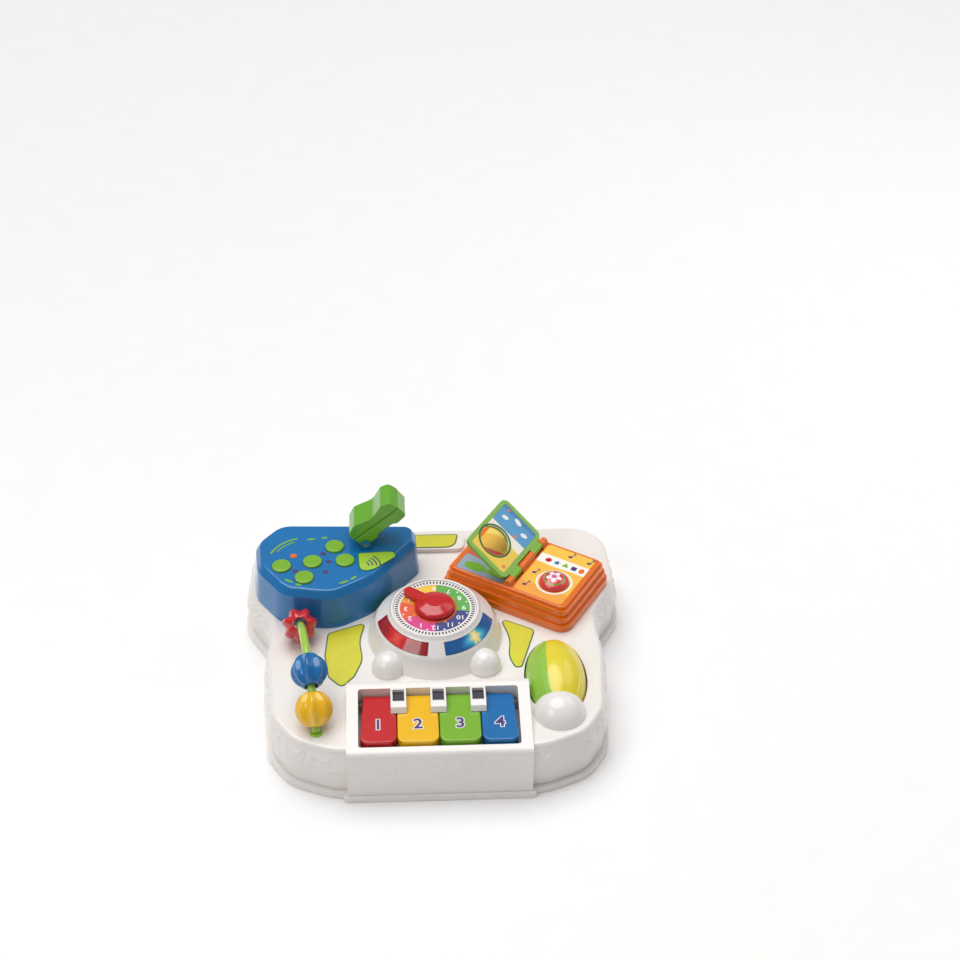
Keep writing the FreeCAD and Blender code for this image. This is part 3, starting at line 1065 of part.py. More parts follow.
def make_labels():
    """Printed labels on the deck, beside the dial and on the back boss."""
    left = [(-111, 4, 6), (-114, -30, 20), (-110, -62, 8), (-96, -78, 5), (-83, -62, 6), (-74, -37, 40),
            (-78, -9, 60), (-71, 20, 4)]
    right = [(68, 22, 4), (78, -14, 60), (73, -37, 40), (84, -64, 5), (88.5, -50, 20), (100, -12, 20),
             (104, 2, 6)]
    for name, outline in (("deck_label_left", left), ("deck_label_right", right)):
        label = new_body(name)
        place(label, z="Sizes.deck_top")
        sketch = new_sketch(label)
        add_outline(sketch, outline)
        add_pad(label, sketch, "Sizes.label_thick")
    for name, turn in (("crescent_left", 128.0), ("crescent_right", 52.0)):
        label = new_body(name)
        sketch = new_sketch(label, "XZ_Plane", turn=turn)
        slope = Vector(v.knee_r - v.housing_r, v.knee_rise, 0)
        out = Vector(slope.y, -slope.x, 0).normalize()
        low = Vector(v.housing_r, v.deck_top, 0) + slope * 0.12
        high = Vector(v.housing_r, v.deck_top, 0) + slope * 0.62
        spots = [low, low + out * v.label_thick, high + out * v.label_thick, high]
        add_polygon(sketch, [(p.x, p.y) for p in spots])
        add_turned(label, sketch, 64.0)
    label = new_body("back_label")
    place(label, z="Sizes.deck_top + Sizes.boss_rise")
    sketch = new_sketch(label)
    add_outline(sketch, [(-26, 133.5, 12), (26, 133.5, 12), (30, 156, 3), (-30, 156, 3)])
    add_pad(label, sketch, "Sizes.label_thick")


make_base_plate()
make_top_shell()
make_inside()
make_keyboard()
make_dial()
make_phone()
make_book()
make_roller()
make_beads()
make_labels()
doc.recompute()

for obj in doc.Objects:
    if "Invalid" in obj.State or "Error" in obj.State:
        raise ValueError(f"{obj.Name}: {obj.State}")
os.makedirs("parts", exist_ok=True)
for node in nodes:
    shape = node.Shape
    if shape.isNull() or not shape.isValid():
        raise ValueError(f"{node.Label} has no valid shape")
    shape.exportStep(f"parts/{node.Label}.step")
    print(node.Label, len(shape.Solids), round(shape.Volume / 1000, 2))
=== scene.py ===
"""Looks of the musical activity table: finishes, prints and fine shapes round the CAD parts.

Lengths in the classes are millimetres in the part's own frame. Meshes are made in metres.
"""

import logging
import math
from dataclasses import dataclass, field
from enum import Enum
from typing import Protocol

import bmesh
import bpy
from mathutils import Matrix, Vector

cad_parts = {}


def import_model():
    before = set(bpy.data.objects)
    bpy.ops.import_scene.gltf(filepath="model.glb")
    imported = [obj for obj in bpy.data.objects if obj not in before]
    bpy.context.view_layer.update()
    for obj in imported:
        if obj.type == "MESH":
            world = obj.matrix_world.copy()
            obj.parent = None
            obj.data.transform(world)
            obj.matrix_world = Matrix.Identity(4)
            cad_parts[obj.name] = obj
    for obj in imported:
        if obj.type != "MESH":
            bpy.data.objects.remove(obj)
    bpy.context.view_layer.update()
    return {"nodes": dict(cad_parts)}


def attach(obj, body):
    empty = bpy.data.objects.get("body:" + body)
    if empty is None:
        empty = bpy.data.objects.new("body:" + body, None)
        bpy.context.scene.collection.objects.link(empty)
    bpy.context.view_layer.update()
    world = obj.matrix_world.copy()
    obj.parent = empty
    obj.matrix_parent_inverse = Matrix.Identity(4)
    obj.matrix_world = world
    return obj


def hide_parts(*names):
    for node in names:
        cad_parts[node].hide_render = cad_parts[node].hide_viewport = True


MM = 0.001
log = logging.getLogger("activity_table")
Point = tuple[float, float]
Corner = tuple[float, float, float]
Stops = tuple[tuple[float, str], ...]
Shape = tuple[float, ...]


def linear(hex_colour: str) -> tuple[float, float, float, float]:
    """Turns an sRGB hex value into linear colour.

    Args:
        hex_colour: The colour as #RRGGBB.

    Returns:
        Red, green, blue and an alpha of one.
    """
    parts = [int(hex_colour[i:i + 2], 16) / 255 for i in (1, 3, 5)]
    r, g, b = [c / 12.92 if c <= 0.04045 else ((c + 0.055) / 1.055) ** 2.4 for c in parts]
    return (r, g, b, 1.0)


def add_node(tree: bpy.types.NodeTree, kind: str, values: dict | None = None, links: dict | None = None,
             **settings: object) -> bpy.types.Node:
    """Adds one node with its settings, fixed inputs and links.

    Args:
        tree: The tree that gets the node.
        kind: Blender's name for the node type.
        values: Fixed inputs, by socket name or number.
        links: Sockets that feed an input, by socket name or number.
        **settings: Properties of the node itself.

    Returns:
        The new node.
    """
    node = tree.nodes.new(kind)
    for name, value in settings.items():
        setattr(node, name, value)
    for key, value in (values or {}).items():
        node.inputs[key].default_value = value
    for key, socket in (links or {}).items():
        tree.links.new(socket, node.inputs[key])
    return node


def feed(tree: bpy.types.NodeTree, node: bpy.types.Node, values: tuple[object, ...]) -> bpy.types.NodeSocket:
    """Fills a node's first inputs with numbers or sockets.

    Args:
        tree: The tree that holds the node.
        node: The node.
        values: A number or a socket for each input, in order.

    Returns:
        The node's first output.
    """
    for index, value in enumerate(values):
        if isinstance(value, (int, float)):
            node.inputs[index].default_value = value
        else:
            tree.links.new(value, node.inputs[index])
    return node.outputs[0]


class Surface:
    """A material under construction: a Principled shader and helpers for its patterns."""

    def __init__(self, name: str, roughness: float, ior: float = 1.5, **fixed: object) -> None:
        """Makes the material and its shader.

        Args:
            name: The material's name.
            roughness: Constant roughness of the surface.
            ior: Index of refraction.
            **fixed: Other constant shader inputs, with _ for each space.
        """
        self.material = bpy.data.materials.new(name)
        self.material.use_nodes = True
        self.tree = self.material.node_tree
        self.shader = self.tree.nodes["Principled BSDF"]
        self.shader.inputs["Roughness"].default_value = roughness
        self.shader.inputs["IOR"].default_value = ior
        for key, value in fixed.items():
            self.shader.inputs[key.replace("_", " ")].default_value = value
        self.coords = add_node(self.tree, "ShaderNodeTexCoord").outputs["Object"]

    def centred(self, matrix: Matrix) -> bpy.types.NodeSocket:
        """Coordinates seen from a piece's own frame.

        Args:
            matrix: The frame, in metres.

        Returns:
            The coordinates as a vector socket.
        """
        place, turn, _ = matrix.decompose()
        moved = add_node(self.tree, "ShaderNodeMapping", {"Location": place, "Rotation": turn.to_euler()},
                         {"Vector": self.coords}, vector_type="TEXTURE")
        return moved.outputs["Vector"]

    def noise(self, size_mm: float, detail: float = 2.0) -> bpy.types.NodeSocket:
        """Soft noise whose blotches are about a size in millimetres."""
        return add_node(self.tree, "ShaderNodeTexNoise", {"Scale": 1 / (size_mm * MM), "Detail": detail},
                        {"Vector": self.coords}).outputs[0]

    def mixed(self, factor: bpy.types.NodeSocket, first: object, second: object) -> bpy.types.NodeSocket:
        """Blends two colours.

        Args:
            factor: Nought for the first colour, one for the second.
            first: A hex value or a colour socket.
            second: A hex value or a colour socket.

        Returns:
            The blended colour.
        """
        node = add_node(self.tree, "ShaderNodeMix", None, {0: factor}, data_type="RGBA")
        for index, colour in ((6, first), (7, second)):
            if isinstance(colour, str):
                node.inputs[index].default_value = linear(colour)
            else:
                self.tree.links.new(colour, node.inputs[index])
        return node.outputs[2]

    def math(self, operation: str, first: object, second: object = 0.0) -> bpy.types.NodeSocket:
        """One sum on two numbers or sockets."""
        return feed(self.tree, add_node(self.tree, "ShaderNodeMath", operation=operation), (first, second))

    def ramp(self, factor: bpy.types.NodeSocket, stops: Stops,
             steps: bool = True) -> bpy.types.NodeSocket:
        """Colours along a scale from nought to one.

        Args:
            factor: Where on the scale.
            stops: Places on the scale with their hex colours.
            steps: Whether the colours change at once or blend.

        Returns:
            The colour socket.
        """
        node = add_node(self.tree, "ShaderNodeValToRGB", None, {0: factor})
        ramp = node.color_ramp
        ramp.interpolation = "CONSTANT" if steps else "LINEAR"
        while len(ramp.elements) > 1:
            ramp.elements.remove(ramp.elements[-1])
        ramp.elements[0].position = stops[0][0]
        ramp.elements[0].color = linear(stops[0][1])
        for place, colour in stops[1:]:
            ramp.elements.new(place).color = linear(colour)
        return node.outputs[0]

    def split(self, vector: bpy.types.NodeSocket) -> list[bpy.types.NodeSocket]:
        """The three parts of a vector socket."""
        return list(add_node(self.tree, "ShaderNodeSeparateXYZ", None, {0: vector}).outputs)

    def around(self, vector: bpy.types.NodeSocket, axes: tuple[int, int] = (0, 1)) -> bpy.types.NodeSocket:
        """How far round an axis a place is.

        Args:
            vector: The place.
            axes: Numbers of the two axes that span the turn.

        Returns:
            From nought to one, counter-clockwise from the first of the two axes.
        """
        parts = self.split(vector)
        angle = self.math("ARCTAN2", parts[axes[1]], parts[axes[0]])
        return self.math("FRACT", self.math("DIVIDE", angle, 2 * math.pi))

    def out_from(self, vector: bpy.types.NodeSocket, axes: tuple[int, int] = (0, 1)) -> bpy.types.NodeSocket:
        """Distance from an axis, in millimetres.

        Args:
            vector: The place.
            axes: Numbers of the two axes across the axis in question.

        Returns:
            The distance, in millimetres.
        """
        parts = self.split(vector)
        first, second = (self.math("POWER", parts[axis], 2.0) for axis in axes)
        return self.math("MULTIPLY", self.math("SQRT", self.math("ADD", first, second)), 1 / MM)

    def finish(self, colour: bpy.types.NodeSocket, grain_mm: float = 0.0,
               relief_mm: float = 0.0) -> bpy.types.Material:
        """Feeds the colour, and a grain if one is given, into the shader.

        Args:
            colour: The surface's colour.
            grain_mm: Size of the grain.
            relief_mm: How far the grain stands out.

        Returns:
            The finished material.
        """
        self.tree.links.new(colour, self.shader.inputs["Base Color"])
        if grain_mm:
            bump = add_node(self.tree, "ShaderNodeBump", {"Distance": relief_mm * MM},
                            {"Height": self.noise(grain_mm)})
            self.tree.links.new(bump.outputs[0], self.shader.inputs["Normal"])
        return self.material


class Finish(Protocol):
    """Anything that can make a material."""

    name: str

    def material(self) -> bpy.types.Material:
        """Makes the material."""


@dataclass(frozen=True)
class MouldedAbs:
    """Injection-moulded ABS: an even colour, a clear gloss and a faint ripple from the mould."""

    name: str
    colour: str
    shade: str
    roughness: float = 0.24
    coat: float = 0.35

    def material(self) -> bpy.types.Material:
        """Makes the material: 60 mm drifts of colour under a 2.5 mm ripple 0.02 mm deep.

        Returns:
            The material.
        """
        surface = Surface(self.name, self.roughness, 1.53, Coat_Weight=self.coat, Coat_Roughness=0.12)
        drift = surface.noise(60, 1.0)
        return surface.finish(surface.mixed(drift, self.colour, self.shade), 2.5, 0.02)


@dataclass(frozen=True)
class ReliefAbs:
    """White moulded ABS whose leaning band carries shallow curls, drawn coarser than a fingertip."""

    name: str
    colour: str
    shade: str
    low: float
    high: float

    def material(self) -> bpy.types.Material:
        """Makes the material: curls about 9 mm wide and 0.5 mm deep between two heights.

        Returns:
            The material.
        """
        surface = Surface(self.name, 0.3, 1.53, Coat_Weight=0.25, Coat_Roughness=0.15)
        height = surface.split(surface.coords)[2]
        inside = surface.math("MULTIPLY", surface.math("GREATER_THAN", height, self.low * MM),
                              surface.math("LESS_THAN", height, self.high * MM))
        curls = add_node(surface.tree, "ShaderNodeTexWave",
                         {"Scale": 1 / (26 * MM), "Distortion": 9.0, "Detail": 0.0, "Detail Scale": 1.4},
                         {"Vector": surface.coords}, wave_type="RINGS")
        bump = add_node(surface.tree, "ShaderNodeBump", {"Distance": 0.5 * MM},
                        {"Height": surface.math("MULTIPLY", curls.outputs[1], inside)})
        surface.tree.links.new(bump.outputs[0], surface.shader.inputs["Normal"])
        return surface.finish(surface.mixed(surface.noise(60, 1.0), self.colour, self.shade))


@dataclass(frozen=True)
class PaintedGlowWindow:
    """Tinted clear ABS with painted light: a painted glow of the lamp beneath, bright with rays in the middle,
    and painted shade that deepens the edge.
    """

    name: str
    centre: tuple[float, float, float]
    stops: Stops
    reach: float
    rays: float

    def material(self) -> bpy.types.Material:
        """Makes the material: the radius of the painted glow's burst is given in millimetres.

        Returns:
            The material.
        """
        surface = Surface(self.name, 0.12, 1.53, Coat_Weight=0.6, Coat_Roughness=0.05)
        vector = surface.centred(Matrix.Translation(Vector(self.centre) * MM))
        distance = surface.out_from(vector)
        turn = surface.math("MULTIPLY", surface.around(vector), 2 * math.pi * self.rays)
        spokes = surface.math("SINE", turn)
        stretch = surface.math("ADD", 1.0, surface.math("MULTIPLY", spokes, 0.22))
        factor = surface.math("DIVIDE", surface.math("MULTIPLY", distance, stretch), self.reach)
        # Painted light: the ramp paints the lamp's glow bright in the middle and painted shade dark at the
        # edge; nothing here emits light.
        return surface.finish(surface.ramp(factor, self.stops, steps=False))


@dataclass(frozen=True)
class SectoredPrint:
    """Ink on card or plastic in sectors round an axis, under a fine grain."""

    name: str
    matrix: Matrix
    stops: Stops
    axes: tuple[int, int] = (0, 1)
    roughness: float = 0.35

    def material(self) -> bpy.types.Material:
        """Makes the material: sectors, each drifting a little in tone over 12 mm.

        Returns:
            The material.
        """
        surface = Surface(self.name, self.roughness, 1.5, Coat_Weight=0.3, Coat_Roughness=0.15)
        colour = surface.ramp(surface.around(surface.centred(self.matrix), self.axes), self.stops)
        drift = surface.math("MULTIPLY", surface.noise(12), 0.05)
        return surface.finish(surface.mixed(drift, colour, "#FFFFFF"), 1.2, 0.01)


@dataclass(frozen=True)
class BandedPrint:
    """Ink on card in soft bands across a page, in the page's own frame."""

    name: str
    matrix: Matrix
    stops: Stops
    start: float
    end: float
    axis: int = 0
    wave: float = 3.0

    def material(self) -> bpy.types.Material:
        """Makes the material: bands between two places in millimetres, with edges that wander.

        Returns:
            The material.
        """
        surface = Surface(self.name, 0.34, 1.5, Coat_Weight=0.25, Coat_Roughness=0.2)
        along = surface.split(surface.centred(self.matrix))[self.axis]
        wander = surface.math("MULTIPLY", surface.math("SUBTRACT", surface.noise(22, 0.0), 0.5),
                              2 * self.wave * MM)
        place = surface.math("ADD", along, wander)
        factor = surface.math("DIVIDE", surface.math("SUBTRACT", place, self.start * MM),
                              (self.end - self.start) * MM)
        colour = surface.ramp(factor, self.stops)
        drift = surface.math("MULTIPLY", surface.noise(9), 0.06)
        return surface.finish(surface.mixed(drift, colour, "#FFFFFF"), 1.5, 0.01)


@dataclass(frozen=True)
class SpottedPrint:
    """Ink on a stuck-on label: an even ground with small spots at a spacing."""

    name: str
    ground: str
    drift: str
    spot: str
    spacing: float = 5.0
    spot_size: float = 0.15

    def material(self) -> bpy.types.Material:
        """Makes the material: spots on a spacing in millimetres, drawn large enough to show.

        Returns:
            The material.
        """
        surface = Surface(self.name, 0.38, 1.5, Coat_Weight=0.2, Coat_Roughness=0.2)
        cells = add_node(surface.tree, "ShaderNodeTexVoronoi", {"Scale": 1 / (self.spacing * MM)},
                         {"Vector": surface.coords}).outputs["Distance"]
        ground = surface.mixed(surface.noise(18), self.ground, self.drift)
        inside = surface.math("LESS_THAN", cells, self.spot_size)
        return surface.finish(surface.mixed(inside, ground, self.spot))


@dataclass(frozen=True)
class BrushedSteel:
    """Drawn or turned steel: grey metal with fine marks along one axis."""

    name: str
    stretch: tuple[float, float, float] = (1.0, 1.0, 12.0)

    def material(self) -> bpy.types.Material:
        """Makes the material: marks 0.4 mm apart, coarser than real ones so that they show.

        Returns:
            The material.
        """
        surface = Surface(self.name, 0.32, 1.5, Metallic=1.0)
        scaled = add_node(surface.tree, "ShaderNodeMapping", {"Scale": self.stretch},
                          {"Vector": surface.coords})
        marks = add_node(surface.tree, "ShaderNodeTexNoise", {"Scale": 1 / (0.4 * MM)},
                         {"Vector": scaled.outputs[0]}).outputs[0]
        return surface.finish(surface.mixed(marks, "#B9BABD", "#8F9095"))


@dataclass(frozen=True)
class SoftRubber:
    """Moulded silicone rubber: matt, slightly dusty."""

    name: str
    colour: str
    shade: str

    def material(self) -> bpy.types.Material:
        """Makes the material: a 1 mm grain under 5 mm drifts."""
        surface = Surface(self.name, 0.72, 1.43)
        return surface.finish(surface.mixed(surface.noise(5), self.colour, self.shade), 1.0, 0.03)


@dataclass(frozen=True)
class CircuitLaminate:
    """Glass-fibre laminate under green lacquer, with copper tracks that show as paler lines."""

    name: str

    def material(self) -> bpy.types.Material:
        """Makes the material: tracks on a 4 mm spacing.

        Returns:
            The material.
        """
        surface = Surface(self.name, 0.4, 1.5)
        tracks = add_node(surface.tree, "ShaderNodeTexBrick",
                          {"Scale": 1 / (8 * MM), "Mortar Size": 0.08, "Color1": linear("#12553A"),
                           "Color2": linear("#0E4A32"), "Mortar": linear("#2C7B58")},
                          {"Vector": surface.coords})
        return surface.finish(tracks.outputs[0])


@dataclass(frozen=True)
class StudioPaper:
    """Seamless paper for the floor: near white, matt, and lifted to white where the camera sees it."""

    name: str
    colour: str
    shade: str
    lift: float = 0.08

    def material(self) -> bpy.types.Material:
        """Makes the material: 40 mm drifts.

        Returns:
            The material.
        """
        surface = Surface(self.name, 0.9, 1.45, Specular_IOR_Level=0.1, Emission_Color=linear("#FFFFFF"))
        path = add_node(surface.tree, "ShaderNodeLightPath")
        seen = surface.math("MAXIMUM", path.outputs["Is Camera Ray"], path.outputs["Is Glossy Ray"])
        lift = surface.math("MULTIPLY", seen, self.lift)
        surface.tree.links.new(lift, surface.shader.inputs["Emission Strength"])
        return surface.finish(surface.mixed(surface.noise(40), self.colour, self.shade))


WHITE = MouldedAbs("white_abs_glossy", "#F3EFEC", "#ECE7E3")
SHELL = ReliefAbs("white_abs_shell_with_relief_band", "#F3EEEA", "#EBE5E0", 35.5, 55.0)
RED = MouldedAbs("red_abs_glossy", "#CC141C", "#C11219", 0.18, 0.35)
YELLOW = MouldedAbs("yellow_abs_glossy", "#F6C107", "#EDB606", 0.18, 0.35)
LIME = MouldedAbs("lime_abs_glossy", "#82BA2C", "#77AF26", 0.18, 0.35)
BLUE = MouldedAbs("blue_abs_glossy", "#0570B3", "#0466A6", 0.18, 0.3)
PHONE_BLUE = MouldedAbs("deep_blue_abs_glossy", "#0675B8", "#056BAA", 0.18, 0.3)
ORANGE = MouldedAbs("orange_abs_glossy", "#F07512", "#E76C0E", 0.2, 0.35)
ROD_LIME = MouldedAbs("pale_lime_abs_glossy", "#A5D04B", "#9BC742", 0.2, 0.5)
LEAF = MouldedAbs("leaf_green_abs_glossy", "#6FB62E", "#64AA27", 0.2, 0.35)
DARK = MouldedAbs("charcoal_abs_satin", "#35303F", "#2B2734", 0.3, 0.3)
LENS = MouldedAbs("milky_lens_acrylic", "#F4F2DC", "#ECE9D0", 0.1, 0.6)
PURPLE_INK = SpottedPrint("purple_ink", "#46247A", "#3D1F6E", "#46247A")
WHITE_INK = SpottedPrint("white_ink", "#FBFAF8", "#F3F2F0", "#FBFAF8")
BLACK_INK = SpottedPrint("black_ink", "#1B1B20", "#24242A", "#1B1B20")
GREEN_INK = SpottedPrint("dark_green_ink", "#2D6B34", "#276030", "#2D6B34")
STEEL = BrushedSteel("brushed_steel")
RUBBER = SoftRubber("grey_silicone_rubber", "#8C8C90", "#7E7E83")


class Palette:
    """Makes each finish's material once."""

    def __init__(self) -> None:
        """Starts with no material made."""
        self._made: dict[str, bpy.types.Material] = {}

    def of(self, finish: Finish) -> bpy.types.Material:
        """Finds the material of a finish.

        Args:
            finish: The finish.

        Returns:
            Its material, made on first use.
        """
        if finish.name not in self._made:
            self._made[finish.name] = finish.material()
        return self._made[finish.name]


palette = Palette()


def dress(node: bpy.types.Object, finish: Finish) -> None:
    """Puts one finish on a CAD node."""
    node.data.materials.clear()
    node.data.materials.append(palette.of(finish))


def rounded(corners: tuple[Corner, ...], inset: float = 0.0, steps: int = 8) -> list[Point]:
    """Draws a counter-clockwise outline with rounded corners, moved inwards.

    Args:
        corners: Each corner's x, y and radius.
        inset: How far every side moves inwards.
        steps: Straight pieces in each rounded corner.

    Returns:
        The outline's points.
    """
    flat = [Vector((x, y)) for x, y, _ in corners]
    met: list[tuple[Vector, float, bool]] = []
    for i, (_, _, radius) in enumerate(corners):
        before, here, after = flat[i - 1], flat[i], flat[(i + 1) % len(flat)]
        u, w = (here - before).normalized(), (after - here).normalized()
        p, q = before + Vector((-u.y, u.x)) * inset, here + Vector((-w.y, w.x)) * inset
        cross = u.x * w.y - u.y * w.x
        reach = ((q.x - p.x) * w.y - (q.y - p.y) * w.x) / cross
        met.append((p + u * reach, max(radius - inset if cross > 0 else radius + inset, 0.3), cross > 0))
    points: list[Point] = []
    for i, (here, radius, left) in enumerate(met):
        back = (met[i - 1][0] - here).normalized()
        ahead = (met[(i + 1) % len(met)][0] - here).normalized()
        half = back.angle(ahead) / 2
        centre = here + (back + ahead).normalized() * (radius / math.sin(half))
        first = here + back * (radius / math.tan(half)) - centre
        sweep = (math.pi - 2 * half) * (1 if left else -1)
        start = math.atan2(first.y, first.x)
        for step in range(steps + 1):
            angle = start + sweep * step / steps
            points.append((centre.x + radius * math.cos(angle), centre.y + radius * math.sin(angle)))
    return points


def disc(x: float, y: float, radius: float, steps: int = 40) -> list[Point]:
    """A round outline."""
    return [(x + radius * math.cos(2 * math.pi * i / steps), y + radius * math.sin(2 * math.pi * i / steps))
            for i in range(steps)]


def blob(x: float, y: float, rx: float, ry: float, turn: float = 0.0, steps: int = 36) -> list[Point]:
    """An oval outline.

    Args:
        x: The oval's middle.
        y: The oval's middle.
        rx: Half its length.
        ry: Half its width.
        turn: How far it is turned, in degrees.
        steps: Straight pieces round it.

    Returns:
        The outline's points.
    """
    c, s = math.cos(math.radians(turn)), math.sin(math.radians(turn))
    return [(x + rx * math.cos(a) * c - ry * math.sin(a) * s, y + rx * math.cos(a) * s + ry * math.sin(a) * c)
            for a in (2 * math.pi * i / steps for i in range(steps))]


def starred(x: float, y: float, outer: float, inner: float, arms: int, turn: float = 90.0) -> list[Point]:
    """A pointed outline.

    Args:
        x: The star's middle.
        y: The star's middle.
        outer: Distance of its points.
        inner: Distance of the corners between them.
        arms: How many points it has.
        turn: Angle of the first point, in degrees.

    Returns:
        The outline's points.
    """
    return [(x + r * math.cos(a), y + r * math.sin(a))
            for i in range(2 * arms)
            for a in (math.radians(turn) + math.pi * i / arms,)
            for r in (outer if i % 2 == 0 else inner,)]


def arc_strip(x: float, y: float, radius: float, width: float, start: float, end: float,
              steps: int = 24) -> list[Point]:
    """A strip that follows part of a circle.

    Args:
        x: The circle's middle.
        y: The circle's middle.
        radius: Radius of the strip's middle line.
        width: Width of the strip.
        start: Angle where it starts, in degrees.
        end: Angle where it ends, in degrees.
        steps: Straight pieces along it.

    Returns:
        The strip's outline.
    """
    angles = [math.radians(start + (end - start) * i / steps) for i in range(steps + 1)]
    outer = [(x + (radius + width / 2) * math.cos(a), y + (radius + width / 2) * math.sin(a)) for a in angles]
    inner = [(x + (radius - width / 2) * math.cos(a), y + (radius - width / 2) * math.sin(a)) for a in angles]
    return outer + inner[::-1]


def new_object(name: str, mesh: bpy.types.Mesh) -> bpy.types.Object:
    """Puts a mesh in the scene under a name.

    Args:
        name: The object's name.
        mesh: Its mesh.

    Returns:
        The object, at the origin.
    """
    obj = bpy.data.objects.new(name, mesh)
    bpy.context.scene.collection.objects.link(obj)
    return obj


def mount(name: str, mesh: bpy.types.Mesh, body: str, finish: Finish,
          smooth: bool = False) -> bpy.types.Object:
    """Makes a finished piece that rides on a body.

    Args:
        name: The piece's name.
        mesh: Its mesh, already in place in metres.
        body: The CAD body it rides on.
        finish: Its finish.
        smooth: Whether its faces blend into each other.

    Returns:
        The piece.
    """
    obj = new_object(name, mesh)
    mesh.materials.clear()
    mesh.materials.append(palette.of(finish))
    if smooth:
        mesh.shade_smooth()
    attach(obj, body)
    log.info("%s rides on %s: %d faces", name, body, len(mesh.polygons))
    return obj


def flat_shapes(name: str, outlines: list[list[Point]], matrix: Matrix, height: float,
                thick: float = 0.12, sunk: float = 0.05) -> bpy.types.Mesh:
    """Cuts thin printed shapes, slightly sunk into the surface that carries them.

    Args:
        name: The mesh's name.
        outlines: Closed outlines in the piece's own plane.
        matrix: The piece's frame, in metres.
        height: Height of the carrying surface in that frame.
        thick: How far the print stands out.
        sunk: How far it reaches below the surface.

    Returns:
        The mesh, in place.
    """
    bm = bmesh.new()
    for outline in outlines:
        low = [bm.verts.new((x * MM, y * MM, (height - sunk) * MM)) for x, y in outline]
        high = [bm.verts.new((x * MM, y * MM, (height + thick) * MM)) for x, y in outline]
        bm.faces.new(low)
        bm.faces.new(high)
        for i in range(len(outline)):
            j = (i + 1) % len(outline)
            bm.faces.new((low[i], low[j], high[j], high[i]))
    bmesh.ops.recalc_face_normals(bm, faces=bm.faces)
    bmesh.ops.triangulate(bm, faces=[f for f in bm.faces if len(f.verts) > 4])
    mesh = bpy.data.meshes.new(name)
    bm.to_mesh(mesh)
    bm.free()
    mesh.transform(matrix)
    return mesh


def numeral(name: str, text: str, size: float, grow: float, matrix: Matrix, height: float,
            thick: float) -> bpy.types.Mesh:
    """Makes a plain number as a thin solid.

    Args:
        name: The mesh's name.
        text: The digits.
        size: Height of the digits.
        grow: How far the outline is moved outwards.
        matrix: Frame of the digits' middle, in metres.
        height: Height of the carrying surface in that frame.
        thick: How far the digits stand out.

    Returns:
        The mesh, in place.
    """
    curve = bpy.data.curves.new(name, "FONT")
    curve.body = text
    curve.size = size * MM
    curve.offset = grow * MM
    curve.extrude = thick * MM / 2
    curve.align_x = "CENTER"
    curve.align_y = "CENTER"
    curve.resolution_u = 4
    holder = bpy.data.objects.new(name, curve)
    bpy.context.scene.collection.objects.link(holder)
    bpy.context.view_layer.update()
    graph = bpy.context.evaluated_depsgraph_get()
    mesh = bpy.data.meshes.new_from_object(holder.evaluated_get(graph), depsgraph=graph)
    bpy.data.objects.remove(holder)
    mesh.transform(matrix @ Matrix.Translation((0, 0, (height + thick / 2 - 0.04) * MM)))
    bm = bmesh.new()
    bm.from_mesh(mesh)
    bmesh.ops.remove_doubles(bm, verts=bm.verts, dist=1e-7)
    bmesh.ops.recalc_face_normals(bm, faces=bm.faces)
    bm.to_mesh(mesh)
    bm.free()
    return mesh


class Growth:
    """A Geometry Nodes tree with named inputs, whose result is turned into a plain mesh."""

    def __init__(self, name: str, inputs: dict[str, float | int]) -> None:
        """Starts the tree.

        Args:
            name: The tree's name.
            inputs: Each named size with its value, in metres where it is a length.
        """
        self.tree = bpy.data.node_groups.new(name, "GeometryNodeTree")
        self.inputs = inputs
        self.tree.interface.new_socket("Geometry", in_out="INPUT", socket_type="NodeSocketGeometry")
        for key, value in inputs.items():
            kind = "NodeSocketInt" if isinstance(value, int) else "NodeSocketFloat"
            self.tree.interface.new_socket(key, in_out="INPUT", socket_type=kind)
        self.tree.interface.new_socket("Finish", in_out="INPUT", socket_type="NodeSocketMaterial")
        self.tree.interface.new_socket("Geometry", in_out="OUTPUT", socket_type="NodeSocketGeometry")
        self.given = add_node(self.tree, "NodeGroupInput").outputs

    def add(self, kind: str, values: dict | None = None, links: dict | None = None,
            **settings: object) -> bpy.types.Node:
        """Adds one node to the tree."""
        return add_node(self.tree, kind, values, links, **settings)

    def math(self, operation: str, first: object, second: object = 0.0) -> bpy.types.NodeSocket:
        """One sum on two numbers or sockets."""
        return feed(self.tree, self.add("ShaderNodeMath", operation=operation), (first, second))

    def vector(self, x: object = 0.0, y: object = 0.0, z: object = 0.0) -> bpy.types.NodeSocket:
        """Three numbers or sockets as one vector."""
        return feed(self.tree, self.add("ShaderNodeCombineXYZ"), (x, y, z))

    def grow(self, result: bpy.types.NodeSocket, base: bpy.types.Mesh, finish: Finish) -> bpy.types.Mesh:
        """Ends the tree, runs it on a mesh and keeps the outcome.

        Args:
            result: The geometry to realise.
            base: The mesh that the tree starts from.
            finish: The finish of everything it makes.

        Returns:
            A plain mesh.
        """
        solid = self.add("GeometryNodeRealizeInstances", None, {0: result})
        dressed = self.add("GeometryNodeSetMaterial", None,
                           {"Geometry": solid.outputs[0], "Material": self.given["Finish"]})
        self.add("NodeGroupOutput", None, {0: dressed.outputs[0]})
        holder = new_object(self.tree.name, base)
        modifier = holder.modifiers.new(self.tree.name, "NODES")
        modifier.node_group = self.tree
        wanted = {**self.inputs, "Finish": palette.of(finish)}
        for item in self.tree.interface.items_tree:
            if item.in_out == "INPUT" and item.name in wanted:
                modifier[item.identifier] = wanted[item.name]
        graph = bpy.context.evaluated_depsgraph_get()
        mesh = bpy.data.meshes.new_from_object(holder.evaluated_get(graph), depsgraph=graph)
        bpy.data.objects.remove(holder)
        return mesh


